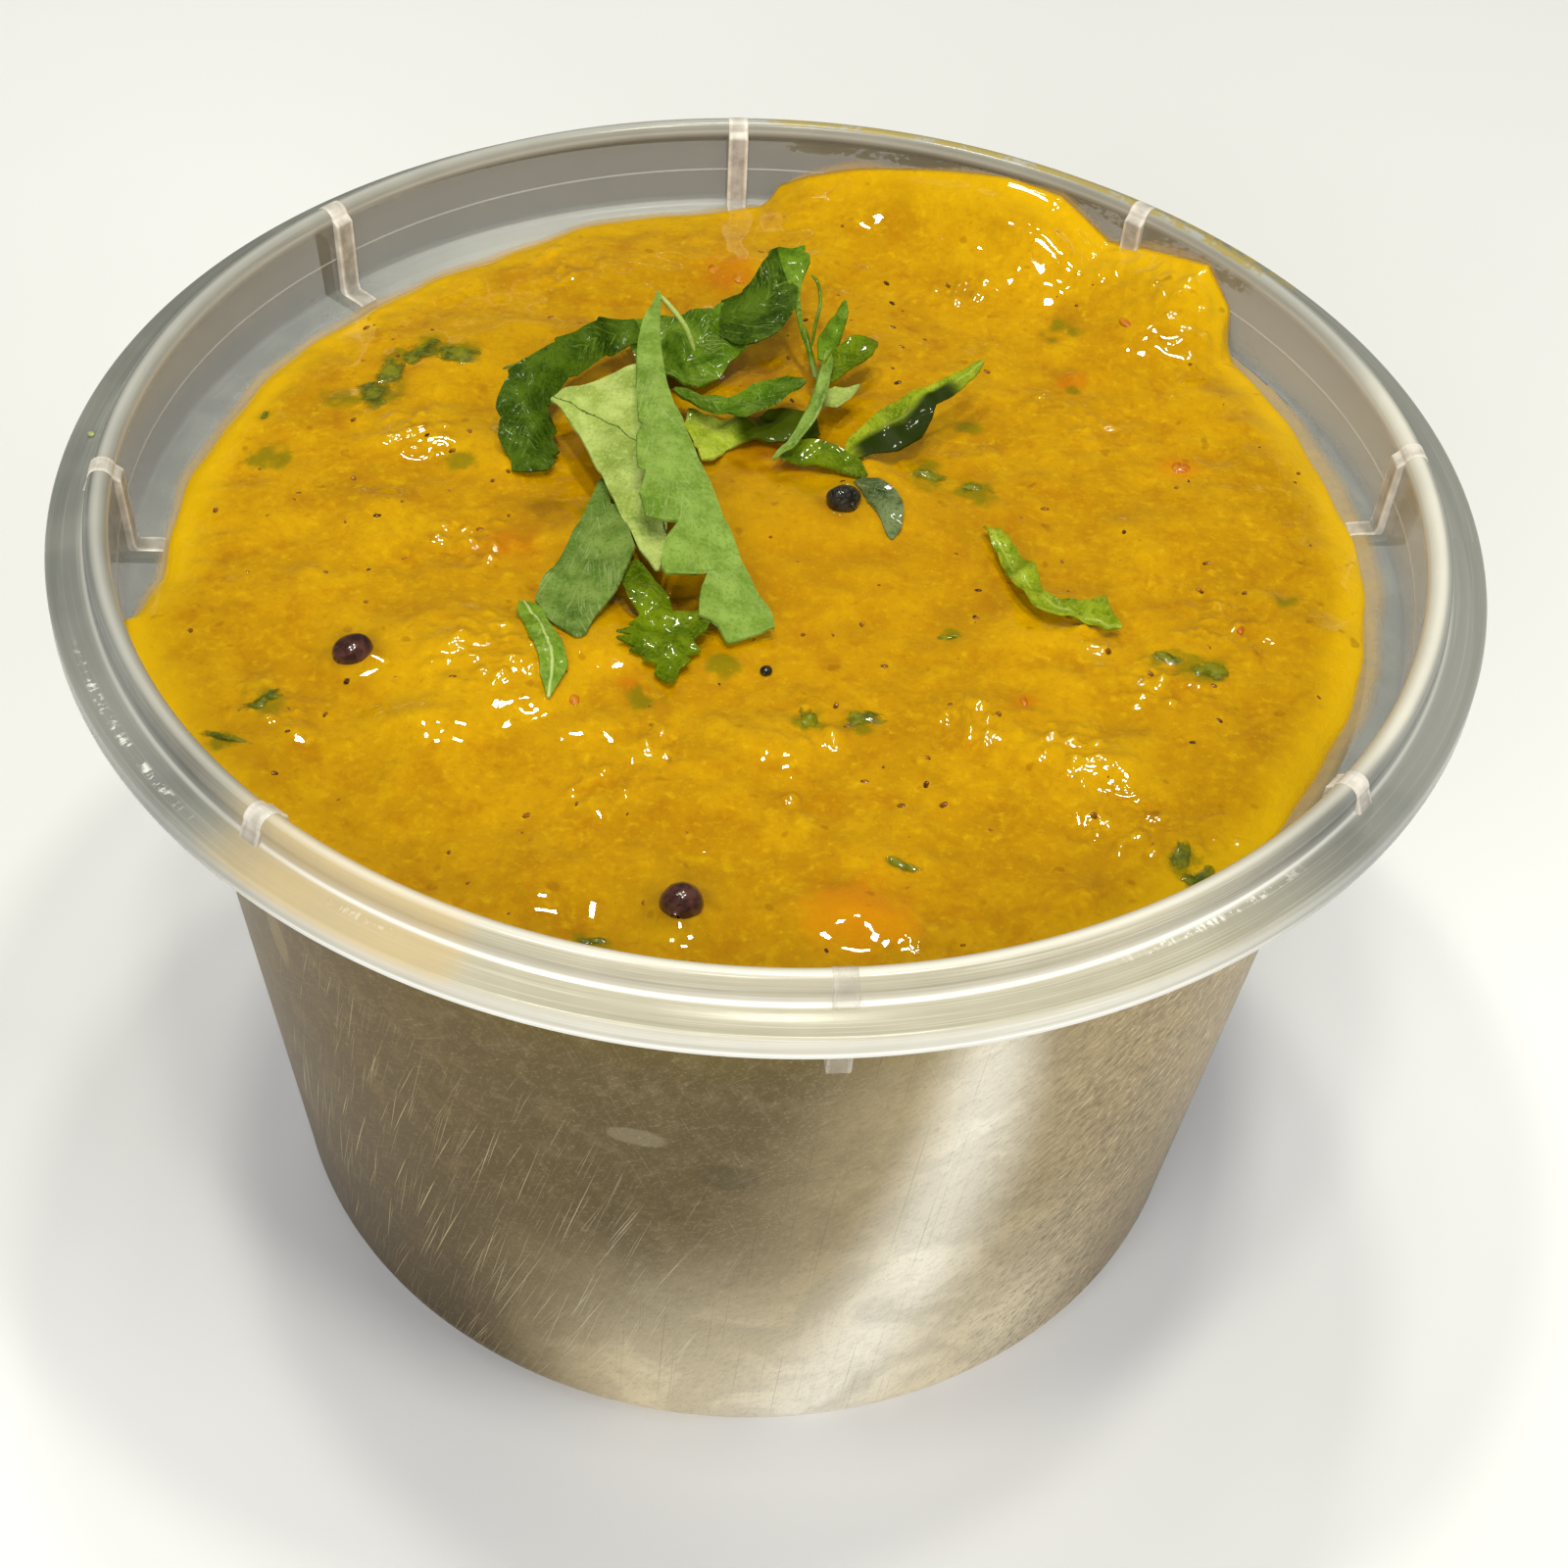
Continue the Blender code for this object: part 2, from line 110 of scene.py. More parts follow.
def turned(name, profile, steps):
    """Point (r, z) of the profile at turn a becomes (r cos a, r sin a, z).
    Both ends of the profile are on the axis, where all the rings close in one point."""
    profile = np.asarray(profile, float)
    ring = profile[1:-1]
    angle = np.arange(steps) * 2 * math.pi / steps
    x = ring[:, :1] * np.cos(angle)
    y = ring[:, :1] * np.sin(angle)
    z = np.repeat(ring[:, 1:], steps, axis=1)
    points = np.stack([x, y, z], -1).reshape(-1, 3)
    first, last = len(points), len(points) + 1
    poles = [(0, 0, profile[0, 1]), (0, 0, profile[-1, 1])]
    here = np.arange(steps)
    after = np.roll(here, -1)
    foot = (len(ring) - 1) * steps
    start_fan = np.column_stack([np.full(steps, first), after, here])
    end_fan = np.column_stack([foot + here, foot + after, np.full(steps, last)])
    return put_mesh(name, np.vstack([points, poles]), grid_faces(len(ring), steps, True), start_fan, end_fan)


def arc(centre, radius, start, end, steps):
    """Points on a circle in the radius-height plane, from start to end in degrees."""
    angle = np.radians(np.linspace(start, end, steps + 1))
    return np.column_stack([centre[0] + radius * np.cos(angle), centre[1] + radius * np.sin(angle)])


# %% [markdown]
# ## Shader maths as Python
# A material is a tree of nodes, but a formula is easier to read than a tree. The class below
# wraps one output socket, and its operators add Math nodes, so `1 - mask` and `grain * 0.3`
# work as they look. Colours go through Mix nodes. Any other node comes from one method that
# takes a type, its settings and the values or links of its sockets.

# %% Sockets that can be added and multiplied
class Wire:
    """An output socket. Python's operators on it add Math nodes."""

    def __init__(self, board, socket):
        self.board, self.socket = board, socket

    def math(self, operation, *values):
        return self.board.node("ShaderNodeMath", {"operation": operation}, dict(enumerate(values)))

    def __add__(self, other): return self.math("ADD", self, other)
    def __radd__(self, other): return self.math("ADD", other, self)
    def __sub__(self, other): return self.math("SUBTRACT", self, other)
    def __rsub__(self, other): return self.math("SUBTRACT", other, self)
    def __mul__(self, other): return self.math("MULTIPLY", self, other)
    def __rmul__(self, other): return self.math("MULTIPLY", other, self)
    def __truediv__(self, other): return self.math("DIVIDE", self, other)
    def __pow__(self, other): return self.math("POWER", self, other)
    def __abs__(self): return self.math("ABSOLUTE", self)

    def least(self, other): return self.math("MINIMUM", self, other)
    def most(self, other): return self.math("MAXIMUM", self, other)

    def fade(self, low, high):
        """0 below low, 1 above high, with a smooth step between; low may be the larger one."""
        settings = {"interpolation_type": "SMOOTHSTEP"}
        flipped = low > high
        ends = (high, low) if flipped else (low, high)
        values = {"Value": self, "From Min": ends[0], "From Max": ends[1]}
        step = self.board.node("ShaderNodeMapRange", settings, values)
        return 1 - step if flipped else step


class Board:
    """A new material with one Principled shader, and short names for the nodes that feed it."""

    def __init__(self, name, constants=None):
        self.material = bpy.data.materials.new(name)
        self.material.use_nodes = True
        self.tree = self.material.node_tree
        self.shader = self.tree.nodes["Principled BSDF"]
        for socket, value in (constants or {}).items():
            self.shader.inputs[socket].default_value = value

    def node(self, kind, settings=None, inputs=None, output=0):
        made = self.tree.nodes.new(kind)
        for key, value in (settings or {}).items():
            setattr(made, key, value)
        for key, value in (inputs or {}).items():
            if isinstance(value, Wire):
                self.tree.links.new(value.socket, made.inputs[key])
            else:
                made.inputs[key].default_value = value
        return Wire(self, made.outputs[output])

    def feed(self, socket, value):
        if isinstance(value, Wire):
            self.tree.links.new(value.socket, self.shader.inputs[socket])
        else:
            self.shader.inputs[socket].default_value = value

    def place(self):
        """The point on the piece, in millimetres."""
        metres = self.node("ShaderNodeTexCoord", output="Object")
        return self.vector("SCALE", metres, scale=1 / MM)

    def vector(self, operation, first, second=None, scale=None):
        inputs = {0: first}
        if second is not None:
            inputs[1] = second
        if scale is not None:
            inputs["Scale"] = scale
        return self.node("ShaderNodeVectorMath", {"operation": operation}, inputs)

    def parts(self, vector):
        return [self.node("ShaderNodeSeparateXYZ", inputs={0: vector}, output=k) for k in range(3)]

    def join(self, x, y, z):
        return self.node("ShaderNodeCombineXYZ", inputs={0: x, 1: y, 2: z})

    def noise(self, vector, size, detail=2.0, rough=0.5, twist=0.0):
        """Cloudy noise from 0 to 1 whose blobs are about size across, in the vector's units."""
        inputs = {"Vector": vector, "Scale": 1 / size, "Detail": detail, "Roughness": rough,
                  "Distortion": twist}
        return self.node("ShaderNodeTexNoise", inputs=inputs)

    def mix(self, share, first, second):
        """first where share is 0, second where it is 1."""
        inputs = {0: share, 6: rgba(first), 7: rgba(second)}
        settings = {"data_type": "RGBA", "clamp_factor": True}
        return self.node("ShaderNodeMix", settings, inputs, output=2)

    def read(self, name):
        """A number painted on the points of the mesh."""
        return self.node("ShaderNodeAttribute", {"attribute_name": name}, output="Fac")

    def bump(self, height, distance):
        """Tilts the surface by a height from 0 to 1, where 1 is distance millimetres."""
        values = {"Height": height, "Distance": distance * MM, "Strength": 1.0}
        self.feed("Normal", self.node("ShaderNodeBump", inputs=values))


def rgba(colour):
    return colour if isinstance(colour, Wire) else (*colour, 1.0)


def dress(thing, board, slot):
    """Gives a finished piece its material and its body, and prints its slot."""
    thing.data.materials.clear()
    thing.data.materials.append(board.material)
    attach(thing, "root")
    print(f"{thing.name}: {board.material.name}, {len(board.tree.nodes)} nodes, slot {slot}")
    return thing


# %% [markdown]
# ## The camera
# The bowl is seen from the front and above, from a little over a hand's length away, and the
# view is rolled a little. The place, the pitch and the roll are set here once. The lens is for
# a sensor 36 mm wide.

# %% Camera
CAMERA_PLACE = (2.57, -179.6, 217.0)
CAMERA_PITCH = math.radians(44.55)  # how far the view looks down
CAMERA_ROLL = math.radians(3.88)
LENS = 62.48
SENSOR_WIDTH = 36.0

camera_data = bpy.data.cameras.new("camera")
camera_data.lens = LENS
camera_data.sensor_width = SENSOR_WIDTH
camera_data.clip_start = 0.01
camera = bpy.data.objects.new("camera", camera_data)
bpy.context.scene.collection.objects.link(camera)
camera.location = [v * MM for v in CAMERA_PLACE]
tipped = Matrix.Rotation((math.pi / 2) - CAMERA_PITCH, 3, "X")
rolled = Matrix.Rotation(CAMERA_ROLL, 3, "Z")
camera.rotation_mode = "QUATERNION"
camera.rotation_quaternion = (tipped @ rolled).to_quaternion()
bpy.context.scene.camera = camera
print("camera at", CAMERA_PLACE, "lens", camera_data.lens)


# %% [markdown]
# ## Floor and light
# The stage is a wide pale floor. Small, bright lamps overhead make the crisp sparks that wet
# dal shows, where one large soft box would lay a milky veil over it. Three soft boxes fill the
# shadows from the front, the right and the back, and are kept out of every reflection.

# %% Floor
FLOOR_HALF = 3000
floor_corners = FLOOR_HALF * np.array([(-1, -1, 0), (1, -1, 0), (1, 1, 0), (-1, 1, 0)])
floor = put_mesh("floor", floor_corners, np.array([[0, 1, 2, 3]]), closed=False)
floor_paint = Board("floor_paint", {"Roughness": 0.9, "Specular IOR Level": 0.1})
speck = floor_paint.noise(floor_paint.place(), 60.0)
floor_paint.feed("Base Color", floor_paint.mix(speck, (0.90, 0.90, 0.90), (0.94, 0.94, 0.94)))
floor.data.materials.append(floor_paint.material)

# %% Lamps
def lamp(name, place, aim, size, watts, colour=(1.0, 1.0, 1.0)):
    """A rectangular lamp, with its place, aim and size in millimetres."""
    data = bpy.data.lights.new(name, "AREA")
    data.shape = "RECTANGLE"
    data.size, data.size_y = (side * MM for side in size)
    data.energy = watts
    data.color = colour
    thing = bpy.data.objects.new(name, data)
    bpy.context.scene.collection.objects.link(thing)
    thing.location = [v * MM for v in place]
    away = np.subtract(place, aim).astype(float)
    away /= np.linalg.norm(away)
    thing.rotation_mode = "QUATERNION"
    thing.rotation_quaternion = Vector(away).to_track_quat("Z", "Y")
    return thing


CEILING_LAMPS = [("ceiling_lamp_a", (-150, 40, 760), 1.0), ("ceiling_lamp_b", (130, -20, 760), 1.0),
                 ("ceiling_lamp_c", (-20, -190, 760), 0.7), ("ceiling_lamp_d", (20, 190, 760), 0.8)]
CEILING_TINT = (1.0, 0.985, 0.84)
for name, place, watts in CEILING_LAMPS:
    lamp(name, place, (0, 0, 60), (60, 60), watts, CEILING_TINT)
soft_boxes = (lamp("soft_box", (-220, -760, 480), (0, 0, 30), (700, 500), 5.2),
              lamp("right_box", (700, -300, 420), (0, 0, 30), (500, 400), 2.6),
              lamp("back_box", (-300, 620, 800), (0, 0, 40), (500, 500), 1.5))
for box in soft_boxes:
    box.visible_glossy = False  # so that only the small lamps shine on wet things

world = bpy.data.worlds.new("room")
bpy.context.scene.world = world
world.use_nodes = True
backdrop = world.node_tree.nodes["Background"]
backdrop.inputs["Color"].default_value = (0.97, 0.98, 1.0, 1.0)
backdrop.inputs["Strength"].default_value = 0.06
bpy.context.scene.view_settings.view_transform = "Standard"


# %% [markdown]
# ## The steel cup
# The cup is pressed from one sheet: a flat base, a small rounding, a straight wall that leans
# out, and a plain rim that the tub's ledge sits over. It is a turned shape, so its profile is
# carried round Z. The wall's slope is given by two numbers: the outer radius at the foot and
# the gain for each millimetre of height. The rim's height comes from the frame's own box.

# %% Turn the cup
CUP_BASE_ROUND = 3.8
CUP_FOOT_RADIUS = 44.1
CUP_TAPER = 0.1155
CUP_WALL = 0.8
CUP_RIM_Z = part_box("steel_cup")[1].z / MM


def cup_outer_radius(z):
    """Outside radius of the tapered wall."""
    return CUP_FOOT_RADIUS + CUP_TAPER * (z - CUP_BASE_ROUND)


def cup_profile():
    """From the middle of the floor, up the inside, over the rim, and down to the base."""
    foot_centre = (CUP_FOOT_RADIUS - CUP_BASE_ROUND, CUP_BASE_ROUND)
    half = CUP_WALL / 2
    rim_middle = (cup_outer_radius(CUP_RIM_Z) - half, CUP_RIM_Z - half)
    inner = arc(foot_centre, CUP_BASE_ROUND - CUP_WALL, -90, 0, 8)
    rim = arc(rim_middle, half, 180, 0, 8)
    outer = arc(foot_centre, CUP_BASE_ROUND, 0, -90, 12)
    rise = np.linspace(0.1, 0.9, 9)[:, None]
    up = inner[-1] + (rim[0] - inner[-1]) * rise
    down = rim[-1] + (outer[0] - rim[-1]) * rise
    ends = [(0.0, CUP_WALL)], [(0.0, 0.0)]
    return np.vstack([ends[0], inner, up, rim, down, outer, ends[1]])


cup = turned("steel_cup_shell", cup_profile(), 256)
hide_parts("steel_cup")


# %% [markdown]
# The steel is warm grey and worn. Its front carries painted reflection: dark brown on the left
# and at the front, lighter to the right, with painted shade where the wall turns away on the
# right. Thin dark hairs run up the wall at the front, and scouring has left long bright scratches
# that lean over, thickest low on the left. A distance round the wall, counted from the front, and
# the height are the two coordinates that most of it uses, so the marks follow the sheet. There
# are also water spots, a painted highlight as a soft bright stripe right of the front with a
# bright patch low on the front, a creased patch beyond it, and a faint yellow-brown darkening
# high on the wall under the rim. The distance jumps from one end to the other straight at the
# back, so the back is kept a plainer, even grey, where the jump doesn't show.

# %% Brushed and scratched steel
CUP_MEAN_RADIUS = 46.0


def steel_finish():
    """Layers from the bottom up: painted reflection and painted shade, painted highlights, creases, grain,
    spots, scratches, a darker band under the rim, and a painted reflection tint.
    """
    board = Board("scoured_steel")
    place = board.place()
    x, y, z = board.parts(place)
    around = x.math("ARCTAN2", x, 0 - y) * CUP_MEAN_RADIUS
    clouds = board.noise(place, 8.0, 4.0, 0.6, 0.6)
    blots = board.noise(place, 3.0, 4.0, 0.65, 0.8)
    grain = board.noise(place, 0.28, 3.0, 0.7)

    def scratches(lean, width, length, keep, seed, bend=0.12):
        """Thin lines that lean by an angle from level: noise stretched along them, cut off high."""
        lean = math.radians(lean)
        along = around * math.cos(lean) + z * math.sin(lean)
        across = z * math.cos(lean) - around * math.sin(lean) + (clouds - 0.5) * bend
        lines = board.noise(board.join(along / length, across / width, seed), 1.0, 1.0, 0.5)
        return lines.fade(keep, keep + 0.10)

    def spot(at_around, at_z, wide, tall):
        """An oval spot with a soft, uneven edge."""
        side = (around - at_around) / wide
        high = (z - at_z) / tall
        ragged = side * side + high * high + (blots - 0.5) * 1.6
        return ragged.fade(1.2, 0.6)

    scoured = (((around + 25) / 26) ** 2 + ((z - 22) / 30) ** 2 + (clouds - 0.5) * 2.4).fade(1.3, 0.4)
    long_marks = scratches(69, 0.14, 20, 0.665, 1.0) + scratches(75, 0.11, 24, 0.66, 7.0)
    low_marks = scratches(65, 0.11, 14, 0.66, 9.0) * z.fade(24.0, 6.0)
    short_marks = scratches(72, 0.10, 9, 0.64, 15.0) * 0.4 + low_marks
    marks = (long_marks + short_marks) * (0.04 + 0.96 * scoured)
    crossing = scratches(40, 0.09, 7, 0.67, 5.0) + scratches(108, 0.09, 8, 0.67, 11.0)
    crossing = crossing * clouds.fade(0.30, 0.55)
    hairs = scratches(87, 0.12, 26, 0.65, 13.0, 0.05) * around.fade(-18.0, -8.0) * around.fade(30.0, 12.0)
    back = around.fade(-60.0, -92.0).most(around.fade(84.0, 122.0))
    worn = (around.fade(18.0, 36.0) * around.fade(82.0, 54.0)).most(back * 0.35)
    creases = board.noise(board.join((around + z) / 1.8, (z - around) / 0.65, 3.0), 1.0, 4.0, 0.75, 0.5)

    # Painted highlight: the path and width of a soft bright stripe right of the front; core is its painted
    # bright middle.
    sway = 18.8 - ((52 - z).most(0.0) ** 2) * 0.0042 + (clouds - 0.5) * 2
    wide = 4.2 + (56 - z) * 0.08
    core = (abs(around - sway) / wide).fade(1.5, 0.0)
    painted_glow = (abs(around - sway + 2) / wide).fade(3.6, 0.5)
    painted_low_glow = z.fade(38.0, 4.0) * around.fade(-26.0, -4.0) * around.fade(44.0, 26.0)

    # Painted reflection: dark brown on the left and at the front, lighter to the right, then darker past the
    # right as painted shade.
    base = board.mix(around.fade(8.0, 34.0), (0.150, 0.112, 0.050), (0.46, 0.350, 0.185))
    base = board.mix(around.fade(44.0, 62.0) * 0.7, base, (0.24, 0.185, 0.090))
    base = board.mix(back, base, (0.50, 0.44, 0.32))
    # Painted shade: darker where the wall turns away on the right, more so low down.
    painted_edge_shade = around.fade(46.0, 66.0) * (1 - back) * (0.60 + 0.40 * z.fade(44.0, 14.0))
    base = board.mix(painted_edge_shade * 0.75, base, (0.125, 0.100, 0.056))
    # Painted highlights: a broad bright band round the stripe, a bright patch low on the front, and the
    # stripe's core.
    base = board.mix(painted_glow * 0.60, base, (0.70, 0.59, 0.39))
    base = board.mix(painted_low_glow * (0.75 + 0.25 * clouds), base, (0.95, 0.86, 0.66))
    base = board.mix(core * (0.85 + 0.2 * blots.fade(0.2, 0.6)), base, (1.0, 0.97, 0.88))
    base = board.mix(clouds.fade(0.62, 0.40) * 0.22, base, (0.11, 0.085, 0.038))
    base = board.mix(blots.fade(0.45, 0.70) * 0.15, base, (0.50, 0.41, 0.26))
    base = board.mix(creases.fade(0.50, 0.62) * (0.14 + 0.60 * worn), base, (0.145, 0.110, 0.055))
    base = board.mix(creases.fade(0.46, 0.36) * (0.08 + 0.52 * worn), base, (0.84, 0.75, 0.57))
    base = board.mix(grain.fade(0.52, 0.75) * 0.32, base, (0.66, 0.55, 0.34))
    base = board.mix(grain.fade(0.45, 0.25) * 0.34, base, (0.08, 0.060, 0.026))
    spots = spot(-6.5, 48.8, 2.3, 1.2) + spot(2.8, 19.1, 2.3, 0.8) + spot(-40.0, 50.5, 1.3, 4.0)
    base = board.mix(spots.least(1.0) * 0.30, base, (0.50, 0.46, 0.36))
    base = board.mix(spot(0.5, 44.5, 2.4, 1.8) * 0.35, base, (0.09, 0.08, 0.05))
    base = board.mix((marks + crossing * 0.25).least(1.0) * 0.66, base, (1.0, 0.95, 0.82))
    base = board.mix(hairs * 0.4, base, (0.10, 0.080, 0.045))
    # Darker and yellower high on the wall under the rim, at the left and front.
    under_rim_band = z.fade(56.0, 64.0) * around.fade(30.0, 12.0) * (1 - back) * (0.3 + 0.7 * clouds)
    base = board.mix(under_rim_band * 0.5, base, (0.20, 0.155, 0.018))
    # Painted reflection tint: warm brown on the left of the front.
    painted_reflection_tint = board.mix(around.fade(-34.0, 2.0).most(back), (0.92, 0.78, 0.46), (1.0, 0.975, 0.91))
    board.feed("Base Color", board.vector("MULTIPLY", base, painted_reflection_tint))
    # Less metallic under the painted highlights, so that their colour shows.
    board.feed("Metallic", 1.0 - (core * 0.55).most(painted_low_glow * 0.45).most(back * 0.40))
    board.feed("Roughness", 0.30 + grain * 0.12 + clouds * 0.08 - marks.least(1.0) * 0.05)
    board.bump(grain * 0.3 + creases * 0.25 + marks.least(1.0) * 0.3, 0.03)
    return board


dress(cup, steel_finish(), "steel")


# %% [markdown]
# ## The tub
# The tub is thin moulded plastic. From the inside out it has a tapered body, a ledge with a
# rounded lip, a short upright wall with a fine parting line, a rolled bead that the lid snaps
# over, and a flange whose edge turns down. It is one turned profile, and each of its points
# also carries three marks: how cloudy the plastic is there, because thick plastic looks milky
# and a thin wall looks grey and clear, whether it is on the bead's inner side, and how much it
# catches the light as a thin line.

# %% Profile of the tub
TUB_WALL = 0.75
TUB_SIDE_CLEARANCE = 0.45
TUB_FLOOR_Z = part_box("tub")[0].z / MM
TUB_FLOOR_ROUND = 4.0
LEDGE_Z = 67.9
LEDGE_INNER_RADIUS = 51.7
LEDGE_ROUND = 2.5
LEDGE_THICK = 0.8
NECK_FOOT_RADIUS = 53.95
NECK_TOP_RADIUS = 54.35
NECK_TOP_Z = 75.7
BEAD_TOP_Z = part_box("tub")[1].z / MM - 0.08
BEAD_OUTER_RADIUS = 56.4
FLANGE_Z = 74.1
FLANGE_INNER_RADIUS = 57.2
FLANGE_OUTER_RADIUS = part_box("tub")[1].x / MM
FLANGE_THICK = 0.8
SKIRT_DROP = 2.05
PARTING_Z = 71.7


def tub_inner_radius(z):
    """Inside radius of the tapered body, which follows the cup."""
    return cup_outer_radius(z) - CUP_WALL - TUB_SIDE_CLEARANCE - TUB_WALL


def neck_radius(z):
    """Inside radius of the upright wall above the ledge."""
    rise = (z - LEDGE_Z) / (NECK_TOP_Z - LEDGE_Z)
    return NECK_FOOT_RADIUS + (NECK_TOP_RADIUS - NECK_FOOT_RADIUS) * rise


def cloudy(points, cloud, inner=0.0, line=0.0):
    """The points of one stretch, with its three marks beside each of them."""
    points = np.atleast_2d(points)
    marks = [np.broadcast_to(amount, len(points)) for amount in (cloud, inner, line)]
    return np.column_stack([points, *marks])


def tub_profile():
    """Rows of radius, height and the three marks, up the inside and down the outside."""
    floor = TUB_FLOOR_Z + TUB_WALL
    corner = (tub_inner_radius(floor + TUB_FLOOR_ROUND) - TUB_FLOOR_ROUND, floor + TUB_FLOOR_ROUND)
    lip = (LEDGE_INNER_RADIUS, LEDGE_Z - LEDGE_ROUND)
    line = np.array([-0.14, -0.07, 0.0, 0.07, 0.14])
    line_out = np.array([0.0, 0.05, 0.07, 0.05, 0.0])
    bead_r = (BEAD_OUTER_RADIUS - NECK_TOP_RADIUS) / 2
    bead = (NECK_TOP_RADIUS + bead_r, BEAD_TOP_Z - bead_r)
    low_neck = np.linspace(LEDGE_Z + 0.35, PARTING_Z - 0.2, 10)
    high_neck = np.linspace(PARTING_Z + 0.2, bead[1] - 0.3, 10)
    skirt_foot = FLANGE_Z - SKIRT_DROP
    skirt_inner = FLANGE_OUTER_RADIUS - FLANGE_THICK
    flange_under = FLANGE_Z - FLANGE_THICK
    ledge_under = LEDGE_Z - LEDGE_THICK
    body_top = CUP_RIM_Z - 0.4
    outer_top = tub_inner_radius(body_top) + TUB_WALL
    out_round = TUB_FLOOR_ROUND + TUB_WALL
    out_corner = (tub_inner_radius(corner[1]) + TUB_WALL - out_round, corner[1])
    flange = np.linspace(FLANGE_INNER_RADIUS, FLANGE_OUTER_RADIUS - 0.55, 12)
    flange_z = FLANGE_Z + 0.22 * (1 - (flange - flange[0]) / (flange[-1] - flange[0])) ** 2
    edge = arc((FLANGE_OUTER_RADIUS - 0.5, FLANGE_Z - 0.5), 0.5, 90, 0, 6)
    bead_line = np.interp(np.linspace(140, 60, 9), [60, 85, 95, 140], [0, 0.5, 0.5, 0])
    return np.vstack([
        cloudy((0.0, floor), 0.4),
        cloudy(arc(corner, TUB_FLOOR_ROUND, -90, 0, 8), 0.4),
        cloudy(arc(lip, LEDGE_ROUND, 180, 90, 14), 0.0, 0.0, np.linspace(0.0, 0.12, 15)),
        cloudy(np.column_stack([np.linspace(52.0, 53.3, 5), np.full(5, LEDGE_Z)]), 0.0),
        cloudy(arc((NECK_FOOT_RADIUS - 0.3, LEDGE_Z + 0.3), 0.3, -90, 0, 4), 0.0),
        cloudy(np.column_stack([neck_radius(low_neck), low_neck]), np.linspace(0.0, 0.08, 10)),
        cloudy(np.column_stack([neck_radius(PARTING_Z + line) - line_out, PARTING_Z + line]),
               0.1, 0.0, [0.0, 0.5, 0.9, 0.5, 0.0]),
        cloudy(np.column_stack([neck_radius(high_neck), high_neck]), np.linspace(0.08, 0.25, 10),
               np.linspace(0.0, 0.3, 10)),
        cloudy(arc(bead, bead_r, 172, 150, 3), 0.8, 1.0, [0.2, 0.4, 0.3, 0.1]),
        cloudy(arc(bead, bead_r, 140, 60, 8), 1.0, np.linspace(1.0, 0.0, 9), bead_line),
        cloudy(arc(bead, bead_r, 50, 0, 6), 1.0),
        cloudy((BEAD_OUTER_RADIUS + 0.02, FLANGE_Z + 0.55), 1.0, 0.0, 0.35),
        cloudy(arc((BEAD_OUTER_RADIUS + 0.42, FLANGE_Z + 0.6), 0.4, 190, 270, 5), 1.0, 0.0,
               [0.3, 0.8, 1.0, 0.8, 0.4, 0.1]),
        cloudy(np.column_stack([flange, flange_z]), 1.0),
        cloudy(edge, 1.0, 0.0, np.linspace(0.0, 0.35, 7)),
        cloudy((FLANGE_OUTER_RADIUS, skirt_foot + 0.6), 1.0, 0.0, 0.1),
        cloudy((FLANGE_OUTER_RADIUS, skirt_foot + 0.2), 1.0, 0.0, 0.7),
        cloudy(arc((FLANGE_OUTER_RADIUS - 0.4, skirt_foot + 0.2), 0.2, 0, -90, 3), 1.0, 0.0, 1.0),
        cloudy((skirt_inner, skirt_foot), 0.8),
        cloudy((skirt_inner, flange_under), 0.3),
        cloudy((NECK_TOP_RADIUS + TUB_WALL + 0.5, flange_under), 0.2),
        cloudy((NECK_TOP_RADIUS + TUB_WALL, flange_under - 0.5), 0.1),
        cloudy((NECK_FOOT_RADIUS + TUB_WALL, LEDGE_Z), 0.1),
        cloudy((NECK_FOOT_RADIUS + TUB_WALL - 0.3, ledge_under), 0.1),
        cloudy((outer_top + 1.4, ledge_under), 0.3),
        cloudy((outer_top + 0.2, body_top + 0.3), 0.3),
        cloudy((outer_top, body_top - 0.4), 0.3),
        cloudy(arc(out_corner, out_round, 0, -90, 8), 0.4),
        cloudy((0.0, TUB_FLOOR_Z), 0.4),
    ])


TUB_STEPS = 360
tub_rows = tub_profile()
tub = turned("tub_shell", tub_rows[:, :2], TUB_STEPS)
for mark, column in (("cloud", 2), ("inner", 3), ("line", 4)):
    round_marks = np.repeat(tub_rows[1:-1, column], TUB_STEPS)
    paint(tub, mark, np.concatenate([round_marks, tub_rows[[0, -1], column]]))
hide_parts("tub")


# %% [markdown]
# Eight ribs stiffen the rim. Seen from above, each shows as a milky hook on the wall, a cap
# over the bead and a short bar across the ledge, and from the side its foot shows under the
# flange. A rib is a flat outline in the radius-height plane with a thickness. The outline
# stands a hair proud of the ledge and the bead and a little further in from the wall, and both
# faces and the rim between them close it.

# %% Ribs
RIB_TURNS = (9.5, 53.5, 96.5, 140.5, 185, 231, 278, 324.5)
RIB_THICK = 1.9
RIB_ROWS = (-0.5, -0.28, 0.28, 0.5)  # shares of the thickness
PROUD = 0.07
BLOCK = 0.6  # how far a rib stands in from the wall


